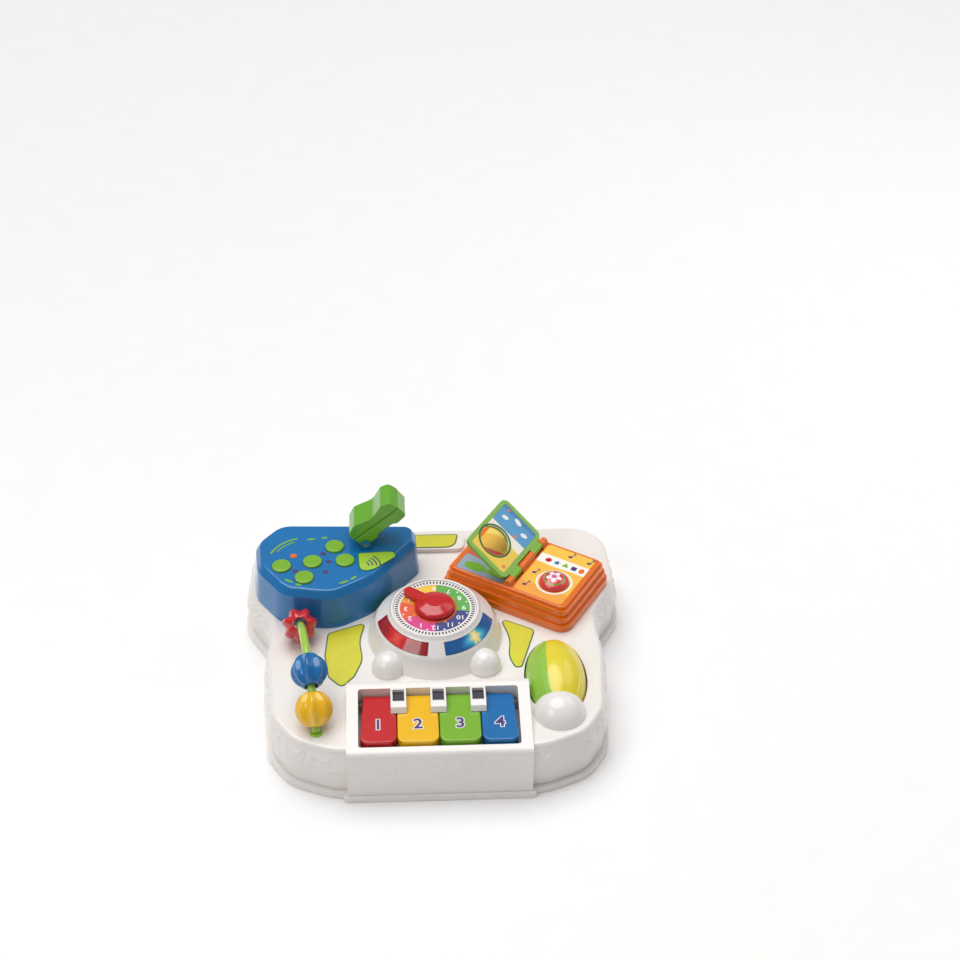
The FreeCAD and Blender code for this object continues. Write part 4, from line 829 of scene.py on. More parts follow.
def path_mesh(name: str, points: list[Vector], closed: bool) -> bpy.types.Mesh:
    """A mesh of edges alone, from point to point.

    Args:
        name: The mesh's name.
        points: The points, in metres.
        closed: Whether the last point joins the first.

    Returns:
        The mesh.
    """
    mesh = bpy.data.meshes.new(name)
    edges = [(i, i + 1) for i in range(len(points) - 1)] + ([(len(points) - 1, 0)] if closed else [])
    mesh.from_pydata(points, edges, [])
    return mesh


@dataclass
class Studio:
    """Floor, soft lamps, the pale surround and the camera.

    A lamp is its side in metres and its power in watts.
    """

    floor_half: float = 3000.0
    azimuth: float = -3.25
    elevation: float = 37.6
    roll: float = 0.76
    distance: float = 2105.0
    focal_pixels: float = 2000.0
    origin_pixel: Point = (435.3, 680.0)
    frame_shift: float = -6.0
    picture: int = 960
    sensor: float = 36.0
    floor_drop: float = 0.4
    left_lamp: tuple[float, float] = (0.7, 4.4)
    right_lamp: tuple[float, float] = (0.9, 2.6)
    day_strength: float = 1.95
    day_spread: float = 50.0
    surround_strength: float = 0.3

    def build(self) -> None:
        """Lays the floor and sets the lamps, the surround and the camera."""
        half, low = self.floor_half * MM, -self.floor_drop * MM
        mesh = bpy.data.meshes.new("floor")
        mesh.from_pydata([(-half, -half, low), (half, -half, low), (half, half, low), (-half, half, low)],
                         [], [(0, 1, 2, 3)])
        floor = new_object("floor", mesh)
        mesh.materials.append(palette.of(StudioPaper("pale_studio_paper", "#F4F3F2", "#EFEEED")))
        self.lamp("lamp_left_front", (-0.9, -0.7, 1.3), *self.left_lamp)
        self.lamp("lamp_right_back", (1.0, 0.7, 1.1), *self.right_lamp)
        self.daylight("daylight_over", self.day_strength)
        self.surround()
        self.camera()

    def lamp(self, name: str, place: tuple[float, float, float], side: float, watts: float) -> None:
        """Hangs one square soft lamp that faces the table.

        Args:
            name: The lamp's name.
            place: Where it hangs, in metres.
            side: Length of its side, in metres.
            watts: Its power.
        """
        light = bpy.data.lights.new(name, "AREA")
        light.energy = watts
        light.size = side
        lamp = bpy.data.objects.new(name, light)
        lamp.location = place
        lamp.rotation_euler = (Vector((0, 0, 0.05)) - Vector(place)).to_track_quat("-Z", "Y").to_euler()
        bpy.context.scene.collection.objects.link(lamp)

    def daylight(self, name: str, strength: float) -> None:
        """Sheds broad soft light from above and a little behind, even over the whole floor.

        Args:
            name: The light's name.
            strength: Its strength.
        """
        light = bpy.data.lights.new(name, "SUN")
        light.energy = strength
        light.angle = math.radians(self.day_spread)
        sun = bpy.data.objects.new(name, light)
        sun.rotation_euler = Vector((0.15, -0.3, -1.0)).to_track_quat("-Z", "Y").to_euler()
        bpy.context.scene.collection.objects.link(sun)

    def surround(self) -> None:
        """Makes the surround a plain pale light, shown as white."""
        world = bpy.data.worlds.new("pale_surround")
        world.use_nodes = True
        tree = world.node_tree
        path = add_node(tree, "ShaderNodeLightPath")
        seen = add_node(tree, "ShaderNodeMath", {1: self.surround_strength},
                        {0: path.outputs["Is Camera Ray"]}, operation="MAXIMUM")
        background = tree.nodes["Background"]
        background.inputs["Color"].default_value = linear("#FFFFFF")
        tree.links.new(seen.outputs[0], background.inputs["Strength"])
        bpy.context.scene.world = world

    def camera(self) -> None:
        """Sets the camera at the photograph's angle."""
        a, e, r = (math.radians(x) for x in (self.azimuth, self.elevation, self.roll))
        back = Vector((math.sin(a) * math.cos(e), -math.cos(a) * math.cos(e), math.sin(e)))
        level_right = Vector((math.cos(a), math.sin(a), 0))
        level_up = back.cross(level_right)
        right = level_right * math.cos(r) + level_up * math.sin(r)
        up = level_up * math.cos(r) - level_right * math.sin(r)
        across = (self.origin_pixel[0] - self.picture / 2) / self.focal_pixels * self.distance
        down = (self.origin_pixel[1] - self.picture / 2) / self.focal_pixels * self.distance
        place = back * self.distance - right * across + up * down
        place.y += self.frame_shift
        data = bpy.data.cameras.new("camera")
        data.sensor_width = self.sensor
        data.lens = self.focal_pixels / self.picture * data.sensor_width
        camera = bpy.data.objects.new("camera", data)
        turn = Matrix((right, up, back)).transposed().to_4x4()
        camera.matrix_world = Matrix.Translation(place * MM) @ turn
        bpy.context.scene.collection.objects.link(camera)
        bpy.context.scene.camera = camera


class Body(Enum):
    """The moving bodies of the CAD part that carry pieces made here."""

    TABLE = "table"
    PAGE = "page"
    ROLLER = "roller_body"
    RED_BEAD = "red_bead_body"
    BLUE_BEAD = "blue_bead_body"
    YELLOW_BEAD = "yellow_bead_body"


@dataclass
class Case:
    """Both shells, what is inside them, and the raised petals along the leaning band."""

    corners: tuple[Corner, ...] = (
        (105, -172, 60), (150, -152.5, 45), (171.5, -117.5, 45), (178.5, -30, 110), (174, 26, 40),
        (202, 76.6, 60), (195, 178, 48))
    petal_height: float = 45.5
    wall_inset: float = 4.6
    petal: tuple[float, float, float] = (5.6, 2.3, 1.0)
    petal_count: int = 84
    petal_turn: float = 38.0
    keyboard_half: float = 97.0
    sleeve: Stops = ((0.0, "#2B2B30"), (0.78, "#C9822B"))
    sleeve_span: tuple[float, float] = (80.0, 135.0)

    def dress(self, nodes: dict[str, bpy.types.Object]) -> None:
        """Gives the shells and the inner parts their finishes.

        Args:
            nodes: Every CAD node by its name.
        """
        dress(nodes["top_shell"], SHELL)
        for name in ("base_plate", "battery_door"):
            dress(nodes[name], WHITE)
        for name in ("door_screw", "case_screws"):
            dress(nodes[name], STEEL)
        dress(nodes["circuit_board"], CircuitLaminate("green_glass_fibre_laminate"))
        dress(nodes["speaker"], DARK)
        dress(nodes["lamps"], LENS)
        dress(nodes["batteries"], BandedPrint(
            "battery_sleeve_film", Matrix.Identity(4), self.sleeve, *self.sleeve_span, 1, 0.0))

    def build(self) -> None:
        """Sets petals in pairs along the band, leaving out the keyboard's front."""
        left = tuple((-x, y, r) for x, y, r in reversed(self.corners))
        line = rounded(self.corners + left, self.wall_inset)
        path = path_mesh("band_path", [Vector((x, y, self.petal_height)) * MM for x, y in line], True)
        growth = Growth("band_petals", {"Petal Count": self.petal_count, "Petal Length": self.petal[0] * MM,
                                        "Petal Width": self.petal[1] * MM, "Petal Rise": self.petal[2] * MM,
                                        "Petal Turn": math.radians(self.petal_turn),
                                        "Keyboard Half": self.keyboard_half * MM})
        curve = growth.add("GeometryNodeMeshToCurve", None, {0: growth.given["Geometry"]})
        even = growth.add("GeometryNodeResampleCurve", None,
                          {"Curve": curve.outputs[0], "Count": growth.given["Petal Count"]})
        tangent = growth.add("GeometryNodeInputTangent").outputs[0]
        outwards = growth.add("ShaderNodeVectorMath", {1: (0, 0, 1)}, {0: tangent}, operation="CROSS_PRODUCT")
        leaned = growth.add("ShaderNodeVectorMath", {1: (0, 0, 0.25)}, {0: outwards.outputs[0]},
                            operation="ADD")
        facing = growth.add("FunctionNodeAlignRotationToVector", None, {"Vector": leaned.outputs[0]}, axis="Z")
        flat = growth.add("FunctionNodeAlignRotationToVector", None,
                          {"Rotation": facing.outputs[0], "Vector": tangent}, axis="X", pivot_axis="Z")
        parity = growth.math("MODULO", growth.add("GeometryNodeInputIndex").outputs[0], 2.0)
        side = growth.math("SUBTRACT", growth.math("MULTIPLY", parity, 2.0), 1.0)
        tilt = growth.add("FunctionNodeEulerToRotation", None,
                          {0: growth.vector(z=growth.math("MULTIPLY", side, growth.given["Petal Turn"]))})
        turned = growth.add("FunctionNodeRotateRotation", None,
                            {"Rotation": flat.outputs[0], "Rotate By": tilt.outputs[0]},
                            rotation_space="LOCAL")
        position = growth.add("GeometryNodeInputPosition").outputs[0]
        spot = growth.add("ShaderNodeSeparateXYZ", None, {0: position})
        across = growth.math("ABSOLUTE", spot.outputs[0])
        beside = growth.math("GREATER_THAN", across, growth.given["Keyboard Half"])
        behind = growth.math("GREATER_THAN", spot.outputs[1], 0.0)
        petal = growth.add("GeometryNodeMeshUVSphere", {"Segments": 14, "Rings": 8, "Radius": 1.0})
        scale = growth.vector(*(growth.given[f"Petal {size}"] for size in ("Length", "Width", "Rise")))
        petals = growth.add("GeometryNodeInstanceOnPoints", None,
                            {"Points": even.outputs[0], "Instance": petal.outputs[0],
                             "Rotation": turned.outputs[0], "Scale": scale,
                             "Selection": growth.math("MAXIMUM", beside, behind)})
        mount("band_petals", growth.grow(petals.outputs[0], path, WHITE), Body.TABLE.value, WHITE, True)


@dataclass
class Keyboard:
    """Four coloured keys with plain numbers, three black keys, and what carries them."""

    colours: dict[str, Finish] = field(default_factory=lambda: {
        "red": RED, "yellow": YELLOW, "green": LIME, "blue": BLUE})
    middles: tuple[float, ...] = (-60.0, -20.75, 20.75, 60.0)
    number_y: float = -138.0
    number_size: float = 19.0
    key_top: float = 66.0
    edge: tuple[float, float] = (1.3, 0.14)
    digit: tuple[float, float] = (0.45, 0.26)

    def dress(self, nodes: dict[str, bpy.types.Object]) -> None:
        """Gives the keys, domes, rod and carrier their finishes.

        Args:
            nodes: Every CAD node by its name.
        """
        for colour, finish in self.colours.items():
            dress(nodes[f"{colour}_key"], finish)
            dress(nodes[f"{colour}_key_dome"], RUBBER)
        for name in ("key_carrier", "black_key_frames"):
            dress(nodes[name], WHITE)
        dress(nodes["black_keys"], DARK)
        dress(nodes["key_rod"], BrushedSteel("brushed_steel_rod", (12.0, 1.0, 1.0)))

    def build(self) -> None:
        """Prints a number on each key: purple on a wider white one."""
        layers = (("edge", *self.edge, WHITE_INK), ("number", *self.digit, PURPLE_INK))
        for number, (colour, x) in enumerate(zip(self.colours, self.middles), start=1):
            place = Matrix.Translation(Vector((x, self.number_y, 0)) * MM)
            for part, grow, thick, ink in layers:
                name = f"{colour}_key_{part}"
                mesh = numeral(name, str(number), self.number_size, grow, place, self.key_top, thick)
                mount(name, mesh, f"{colour}_key_body", ink)


@dataclass
class Dial:
    """The clock-like dial: printed face, tick ring, knob, windows and the housing."""

    face_top: float = 95.2
    ring_top: float = 95.6
    tick_radius: float = 39.6
    tick_count: int = 72
    tick: tuple[float, float, float] = (3.4, 1.55, 0.3)
    number_radius: float = 29.8
    number_size: float = 8.6
    sectors: Stops = (
        (0.0, "#57AB3C"), (0.085, "#57AB3C"), (0.235, "#F7C81E"), (0.34, "#F39A1E"), (0.45, "#E8501E"),
        (0.58, "#DB2A86"), (0.75, "#22307F"), (0.97, "#57AB3C"))
    window_spot: tuple[float, float, float] = (39.5, -36.8, 87.0)
    # Painted light: each window's stops go from a painted glow in the middle to painted shade at the rim.
    red_painted_glow: Stops = ((0.0, "#EE5A50"), (0.35, "#DD2C2E"), (0.8, "#B9141B"), (1.0, "#9C0F17"))
    blue_painted_glow: Stops = (
        (0.0, "#FFFBD0"), (0.22, "#FFE880"), (0.42, "#58C4DC"), (0.75, "#1C80BE"), (1.0, "#125A9C"))
    red_reach: float = 18.0
    blue_reach: float = 16.0
    rays: float = 6.0
    spark: tuple[float, float, float] = (23.6, 1.7, 0.8)
    spark_angles: tuple[int, ...] = (-65, 35, 75, -155)
    dot: tuple[float, float] = (33.8, 1.0)
    dot_angles: tuple[int, ...] = (-15, -45, -75, 15, 45, -105, 195)
    inner_ring: tuple[float, float] = (22.0, 1.5)
    inner_ring_rise: float = 0.5
    full_turn: float = 359.6

    def dress(self, nodes: dict[str, bpy.types.Object]) -> None:
        """Gives the dial's parts their finishes.

        Args:
            nodes: Every CAD node by its name.
        """
        for name in ("dial_housing", "tick_ring", "knob_shaft"):
            dress(nodes[name], WHITE)
        dress(nodes["dial_knob"], RED)
        dress(nodes["dial_face"], SectoredPrint("dial_face_ink", Matrix.Identity(4), self.sectors))
        x, y, z = self.window_spot
        # Both windows carry a painted glow and painted edge shade, not the light of a real lamp.
        dress(nodes["red_window"], PaintedGlowWindow(
            "red_tinted_abs_painted_glow", (-x, y, z), self.red_painted_glow, self.red_reach, self.rays))
        dress(nodes["blue_window"], PaintedGlowWindow(
            "blue_tinted_abs_painted_glow", (x, y, z), self.blue_painted_glow, self.blue_reach, self.rays))

    def build(self) -> None:
        """Prints the numbers, sparks and ring on the face, and grows the ticks."""
        flat = Matrix.Identity(4)
        for number in range(1, 13):
            angle = math.radians(-90 - 30 * number)
            spot = Vector((math.cos(angle), math.sin(angle), 0)) * self.number_radius
            place = Matrix.Translation(spot * MM) @ Matrix.Rotation(math.pi, 4, "Z")
            name = f"dial_number_{number}"
            mesh = numeral(name, str(number), self.number_size, 0.12, place, self.face_top, 0.22)
            mount(name, mesh, Body.TABLE.value, WHITE_INK)
        away, outer, inner = self.spark
        sparks = [starred(*self.polar(away, a), outer, inner, 4, a) for a in self.spark_angles]
        mount("dial_sparks", flat_shapes("dial_sparks", sparks, flat, self.face_top), Body.TABLE.value, YELLOW)
        dots = [disc(*self.polar(self.dot[0], a), self.dot[1], 16) for a in self.dot_angles]
        mount("dial_dots", flat_shapes("dial_dots", dots, flat, self.face_top), Body.TABLE.value, WHITE_INK)
        ring = [arc_strip(0, 0, *self.inner_ring, 0, self.full_turn, 72)]
        mesh = flat_shapes("dial_inner_ring", ring, flat, self.face_top, self.inner_ring_rise)
        mount("dial_inner_ring", mesh, Body.TABLE.value, ORANGE)
        mount("dial_ticks", self.ticks(), Body.TABLE.value, BLACK_INK)

    @staticmethod
    def polar(radius: float, degrees: float) -> Point:
        """A place on the face by its distance and angle."""
        return (radius * math.cos(math.radians(degrees)), radius * math.sin(math.radians(degrees)))

    def ticks(self) -> bpy.types.Mesh:
        """Grows the ring of ticks.

        Returns:
            The ticks as one mesh, in place.
        """
        length, width, rise = (size * MM for size in self.tick)
        growth = Growth("tick_ring_marks", {
            "Tick Count": self.tick_count, "Ring Radius": self.tick_radius * MM, "Tick Length": length,
            "Tick Width": width, "Tick Rise": rise, "Ring Top": self.ring_top * MM})
        ring = growth.add("GeometryNodeMeshCircle", None,
                          {"Vertices": growth.given["Tick Count"], "Radius": growth.given["Ring Radius"]})
        bar = growth.add("GeometryNodeMeshCube", None, {"Size": growth.vector(
            growth.given["Tick Length"], growth.given["Tick Width"], growth.given["Tick Rise"])})
        position = growth.add("GeometryNodeInputPosition").outputs[0]
        facing = growth.add("FunctionNodeAlignRotationToVector", None, {"Vector": position},
                            axis="X", pivot_axis="Z")
        marks = growth.add("GeometryNodeInstanceOnPoints", None,
                           {"Points": ring.outputs[0], "Instance": bar.outputs[0],
                            "Rotation": facing.outputs[0]})
        lift = growth.vector(z=growth.given["Ring Top"])
        lifted = growth.add("GeometryNodeTransform", None, {"Geometry": marks.outputs[0], "Translation": lift})
        return growth.grow(lifted.outputs[0], path_mesh("tick_seed", [Vector()], False), BLACK_INK)


@dataclass
class Phone:
    """The toy phone: body, push buttons, its printed corner and the receiver."""

    top: float = 105.0
    label_corners: tuple[Corner, ...] = ((-77, 47, 8), (-61, 52, 8), (-30, 79, 6), (-50, 81, 5), (-79, 79, 3))
    arc_middle: Point = (-75.0, 57.5)
    arc_start: float = 8.0
    arc_step: float = 4.0
    arc_count: int = 4
    arc_thick: float = 0.75
    arc_from: float = 2.0
    arc_sweep: float = 50.0
    arc_flatness: float = 0.35
    arc_lift: float = 0.05
    label_thick: float = 0.5
    label_edge: float = 1.0
    panel_thick: float = 0.1
    ovals: tuple[Point, ...] = ((-143.5, 52.0), (-112.0, 50.0), (-115.0, 79.5), (-109.0, 66.5))
    oval: tuple[float, float, float] = (3.6, 2.6, -35.0)
    dot: Point = (-146.0, 77.0)
    dot_radius: float = 3.4
    sweep_middle: Point = (-132.0, 66.0)
    sweeps: tuple[tuple[float, float, float, float], ...] = (
        (41.0, 2.2, 105.0, 158.0), (36.5, 1.4, 112.0, 150.0))
    leaf_half_width: float = 1.5
    leaves: tuple[tuple[float, float, float, float], ...] = (
        (-93.0, 33.0, 5.5, 24.0), (-83.0, 39.5, 4.0, 40.0), (-150.0, 37.0, 5.0, -32.0),
        (-140.0, 30.5, 3.6, -22.0), (-128.0, 104.0, 4.6, 8.0), (-114.0, 106.0, 3.4, -4.0))

    def dress(self, nodes: dict[str, bpy.types.Object]) -> None:
        """Gives the phone's parts their finishes.

        Args:
            nodes: Every CAD node by its name.
        """
        dress(nodes["phone_body"], PHONE_BLUE)
        for number in range(1, 6):
            dress(nodes[f"phone_button_{number}"], LIME)
        dress(nodes["keypad_mat"], RUBBER)
        dress(nodes["phone_label"], GREEN_INK)
        for name in ("handset_lower", "handset_upper"):
            dress(nodes[name], LEAF)
        dress(nodes["handset_pin"], STEEL)

    def build(self) -> None:
        """Prints the ovals, dot, sweeps, leaves and label, and grows the sound arcs."""
        flat = Matrix.Identity(4)
        ovals = [blob(x, y, *self.oval) for x, y in self.ovals]
        mount("phone_ovals", flat_shapes("phone_ovals", ovals, flat, self.top), Body.TABLE.value, PURPLE_INK)
        dot = [disc(*self.dot, self.dot_radius)]
        mount("phone_dot", flat_shapes("phone_dot", dot, flat, self.top, 0.3), Body.TABLE.value, ORANGE)
        sweeps = [arc_strip(*self.sweep_middle, *sweep) for sweep in self.sweeps]
        mount("phone_sweeps", flat_shapes("phone_sweeps", sweeps, flat, self.top), Body.TABLE.value, LIME)
        leaves = [blob(x, y, rx, self.leaf_half_width, turn) for x, y, rx, turn in self.leaves]
        mount("phone_leaves", flat_shapes("phone_leaves", leaves, flat, self.top), Body.TABLE.value, LIME)
        panel = [rounded(self.label_corners, self.label_edge)]
        mesh = flat_shapes("phone_label_panel", panel, flat, self.top + self.label_thick, self.panel_thick)
        ink = SpottedPrint("lime_label_ink", "#A9D13C", "#9CC833", "#A9D13C")
        mount("phone_label_panel", mesh, Body.TABLE.value, ink)
        mount("sound_arcs", self.sound_arcs(), Body.TABLE.value, PURPLE_INK)

    def sound_arcs(self) -> bpy.types.Mesh:
        """Grows arcs that widen from one middle.

        Returns:
            The arcs as one mesh, in place.
        """
        growth = Growth("sound_arcs", {"Arc Count": self.arc_count, "First Radius": self.arc_start * MM,
                                       "Radius Step": self.arc_step * MM, "Arc Thickness": self.arc_thick * MM,
                                       "Start": math.radians(self.arc_from),
                                       "Sweep": math.radians(self.arc_sweep)})
        seeds = growth.add("GeometryNodeMeshLine", {"Offset": (0, 0, 0)}, {"Count": growth.given["Arc Count"]})
        arc = growth.add("GeometryNodeCurveArc", {"Resolution": 20, "Radius": 1.0},
                         {"Start Angle": growth.given["Start"], "Sweep Angle": growth.given["Sweep"]})
        radius = growth.math("ADD", growth.given["First Radius"], growth.math(
            "MULTIPLY", growth.add("GeometryNodeInputIndex").outputs[0], growth.given["Radius Step"]))
        arcs = growth.add("GeometryNodeInstanceOnPoints", None,
                          {"Points": seeds.outputs[0], "Instance": arc.outputs[0],
                           "Scale": growth.vector(radius, radius, radius)})
        lines = growth.add("GeometryNodeRealizeInstances", None, {0: arcs.outputs[0]})
        ring = growth.add("GeometryNodeCurvePrimitiveCircle", {"Resolution": 10},
                          {"Radius": growth.given["Arc Thickness"]})
        tubes = growth.add("GeometryNodeCurveToMesh", {"Fill Caps": True},
                           {"Curve": lines.outputs[0], "Profile Curve": ring.outputs[0]})
        mesh = growth.grow(tubes.outputs[0], path_mesh("arc_seed", [Vector()], False), PURPLE_INK)
        place = Vector((*self.arc_middle, self.top + self.label_thick + self.arc_lift)) * MM
        mesh.transform(Matrix.Translation(place) @ Matrix.Diagonal((1, 1, self.arc_flatness, 1)))
        return mesh


@dataclass(frozen=True)
class FlowerMark:
    """Red moulded dome with a printed flower: white petals, a pink heart and a green ring."""

    name: str
    matrix: Matrix
    petals: float = 5.0
    reach: float = 8.6

    def material(self) -> bpy.types.Material:
        """Makes the material: the flower is 17 mm wide.

        Returns:
            The material.
        """
        surface = Surface(self.name, 0.16, 1.53, Coat_Weight=0.6, Coat_Roughness=0.06)
        vector = surface.centred(self.matrix)
        distance = surface.out_from(vector)
        turn = surface.math("MULTIPLY", surface.around(vector), 2 * math.pi * self.petals)
        wave = surface.math("MULTIPLY", surface.math("COSINE", turn), 0.22)
        edge = surface.math("MULTIPLY", surface.math("ADD", 0.78, wave), self.reach)
        ring = surface.ramp(surface.math("DIVIDE", distance, 16.0), (
            (0.0, "#DC1F28"), (0.64, "#5FAE3E"), (0.72, "#DC1F28")))
        petals = surface.mixed(surface.math("LESS_THAN", distance, edge), ring, "#F8F4F2")
        heart = surface.mixed(surface.math("LESS_THAN", distance, 3.0), petals, "#E2559C")
        drift = surface.math("MULTIPLY", surface.noise(8), 0.06)
        return surface.finish(surface.mixed(drift, heart, "#FFFFFF"))


@dataclass
class Book:
    """The book: stepped base, printed pages, the turning page and its push button."""

    middle: Point = (99.0, 76.0)
    deck: float = 60.0
    turn: float = -32.0
    rise: float = 28.0
    spine_rise: float = 2.6
    page_lift: float = 36.0
    page_top: float = 2.0
    button: Point = (40.0, -12.5)
    half_page: float = 42.0
    left_bands: Stops = ((0.0, "#8FA3B8"), (0.3, "#D8452C"), (0.52, "#F4B92A"), (0.8, "#F6D65A"))
    right_bands: Stops = ((0.0, "#F5A21D"), (0.2, "#F8BC26"), (0.62, "#FBF7EE"), (0.8, "#F9C42D"))
    leaf_bands: Stops = ((0.0, "#F8D23A"), (0.46, "#FBF6E4"), (0.6, "#3E9BD1"), (0.86, "#2C7DB9"))
    button_ring: tuple[float, float] = (18.4, 2.2)
    window_ring: tuple[float, float] = (19.0, 2.2)
    ring_rise: float = 0.2
    full_turn: float = 359.6
    note_spots: tuple[Point, ...] = ((14, -30), (14, -8), (58, 33), (36, 33))
    mark_row: float = 17.5
    sun: Shape = (-26, 22, 9.5, 6.6, 12)
    hills: tuple[Shape, ...] = ((-20, -30, 11, 5.5), (-44, -31, 13, 6.5))
    drops: tuple[Shape, ...] = ((-48, 22, 4.2, 2.6, 20), (-34, 30, 5, 2.8, -15), (-20, 22, 4.2, 2.6, 20))
    stars: tuple[Shape, ...] = ((-27, 12, 3.2, 1.4, 5), (-50, 33, 2.6, 1.2, 5), (-15, -30, 3.0, 1.4, 5))

    def frame(self) -> Matrix:
        """The book's own frame, at deck height."""
        place = Matrix.Translation(Vector((*self.middle, self.deck)) * MM)
        return place @ Matrix.Rotation(math.radians(self.turn), 4, "Z")

    def page_frame(self) -> Matrix:
        """The turning page's frame, at its pin."""
        lift = Matrix.Translation(Vector((0, 0, self.rise + self.spine_rise)) * MM)
        return self.frame() @ lift @ Matrix.Rotation(math.radians(self.page_lift), 4, "Y")

    def dress(self, nodes: dict[str, bpy.types.Object]) -> None:
        """Gives the book's parts their finishes.

        Args:
            nodes: Every CAD node by its name.
        """
        dress(nodes["book_base"], ORANGE)
        dress(nodes["page_frame"], LIME)
        dress(nodes["page_pin"], STEEL)
        dress(nodes["book_button_dome"], RUBBER)
        spot = Matrix.Translation(Vector((*self.button, 0)) * MM)
        dress(nodes["book_button"], FlowerMark("red_abs_with_flower_print", self.frame() @ spot))
        low, high = -self.half_page, self.half_page
        dress(nodes["left_page_print"], BandedPrint(
            "left_page_ink", self.frame(), self.left_bands, low, high, 1))
        dress(nodes["right_page_print"], BandedPrint(
            "right_page_ink", self.frame(), self.right_bands, low, high, 1, 1.5))
        dress(nodes["page_print"], BandedPrint(
            "turning_page_ink", self.page_frame(), self.leaf_bands, low, high, 1, 2.5))

    def build(self) -> None:
        """Prints the pictures: a sun and hills, shapes and notes, and rings round the openings."""
        table, page = Body.TABLE.value, Body.PAGE.value
        base, leaf = self.frame(), self.page_frame()
        mount("page_sun", flat_shapes("page_sun", [starred(*self.sun)], base, self.rise), table, ORANGE)
        hills = [blob(*hill) for hill in self.hills]
        mount("page_hills", flat_shapes("page_hills", hills, base, self.rise), table, LIME)
        row = self.mark_row
        marks = ([disc(18, row, 3.4)], [starred(28, row, 4.0, 1.9, 5)], [starred(38, row, 4.4, 2.2, 3)],
                 [starred(48, row, 4.2, 2.97, 4, 45)], [blob(57, row, 3.0, 4.0)])
        for number, (shape, ink) in enumerate(zip(marks, (RED, BLUE, LIME, PURPLE_INK, ORANGE)), start=1):
            name = f"page_mark_{number}"
            mount(name, flat_shapes(name, shape, base, self.rise), table, ink)
        notes = [part for x, y in self.note_spots for part in self.note(x, y)]
        mount("page_notes", flat_shapes("page_notes", notes, base, self.rise), table, PURPLE_INK)
        collar = [arc_strip(*self.button, *self.button_ring, 0, self.full_turn, 64)]
        mesh = flat_shapes("button_ring", collar, base, self.rise, self.ring_rise)
        mount("button_ring", mesh, table, WHITE_INK)
        ring = [arc_strip(-self.button[0], self.button[1], *self.window_ring, 0, self.full_turn, 64)]
        mesh = flat_shapes("page_ring", ring, leaf, self.page_top, self.ring_rise)
        mount("page_ring", mesh, page, GREEN_INK)
        drops = [blob(*drop) for drop in self.drops]
        mount("page_drops", flat_shapes("page_drops", drops, leaf, self.page_top), page, WHITE_INK)
        stars = [starred(*star) for star in self.stars]
        mount("page_stars", flat_shapes("page_stars", stars, leaf, self.page_top), page, ORANGE)

    @staticmethod
    def note(x: float, y: float) -> list[list[Point]]:
        """A plain music note: an oval head and a flagged stem.

        Args:
            x: Middle of the note's head.
            y: Middle of the note's head.

        Returns:
            The outlines of the head and the stem.
        """
        stem = [(x + 1.6, y), (x + 2.3, y), (x + 2.3, y + 6.2), (x + 4.4, y + 4.2), (x + 4.4, y + 5.6),
                (x + 2.3, y + 8.0), (x + 1.6, y + 8.0)]
        return [blob(x, y, 2.3, 1.7, 20, 20), stem]


@dataclass
class Roller:
    """The barrel with its raised ribs, the cup that carries it and the round cap."""

    axis: tuple[float, float, float] = (120.0, -71.0, 53.0)
    half: float = 56.0
    radius: float = 31.0
    front: float = -39.0
    back: float = 46.0
    rib_radius: float = 0.8
    rib_sunk: float = 0.3
    rib_count: int = 9
    rib_steps: int = 24
    sectors: Stops = (
        (0.0, "#E9D51B"), (0.3, "#93C83A"), (0.53, "#E9D51B"), (0.8, "#93C83A"))

    def finish(self) -> SectoredPrint:
        """The barrel's two-colour moulding, in quarters."""
        return SectoredPrint("lime_and_yellow_abs", Matrix.Translation(Vector(self.axis) * MM), self.sectors,
                             (0, 2), 0.2)

    def dress(self, nodes: dict[str, bpy.types.Object]) -> None:
        """Gives the barrel, cup, cap and axle their finishes.

        Args:
            nodes: Every CAD node by its name.
        """
        dress(nodes["roller"], self.finish())
        for name in ("roller_cup", "roller_cap"):
            dress(nodes[name], WHITE)
        dress(nodes["roller_axle"], STEEL)

    def build(self) -> None:
        """Grows the ribs along the barrel and turns them into one piece."""
        line = []
        for i in range(self.rib_steps + 1):
            y = self.front + (self.back - self.front) * i / self.rib_steps
            reach = self.radius * math.sqrt(1 - (y / self.half) ** 2) - self.rib_sunk
            line.append(Vector((reach, y, 0)) * MM)
        growth = Growth("barrel_ribs", {"Rib Count": self.rib_count, "Rib Radius": self.rib_radius * MM})
        curve = growth.add("GeometryNodeMeshToCurve", None, {0: growth.given["Geometry"]})
        ring = growth.add("GeometryNodeCurvePrimitiveCircle", {"Resolution": 8},
                          {"Radius": growth.given["Rib Radius"]})
        rib = growth.add("GeometryNodeCurveToMesh", {"Fill Caps": True},
                         {"Curve": curve.outputs[0], "Profile Curve": ring.outputs[0]})
        seeds = growth.add("GeometryNodeMeshLine", {"Offset": (0, 0, 0)}, {"Count": growth.given["Rib Count"]})
        index = growth.add("GeometryNodeInputIndex").outputs[0]
        step = growth.math("DIVIDE", 2 * math.pi, growth.given["Rib Count"])
        turn = growth.add("FunctionNodeEulerToRotation", None,
                          {0: growth.vector(y=growth.math("MULTIPLY", index, step))})
        ribs = growth.add("GeometryNodeInstanceOnPoints", None,
                          {"Points": seeds.outputs[0], "Instance": rib.outputs[0],
                           "Rotation": turn.outputs[0]})
        mesh = growth.grow(ribs.outputs[0], path_mesh("rib_line", line, False), self.finish())
        mesh.transform(Matrix.Translation(Vector(self.axis) * MM))
        mount("roller_ribs", mesh, Body.ROLLER.value, self.finish(), True)


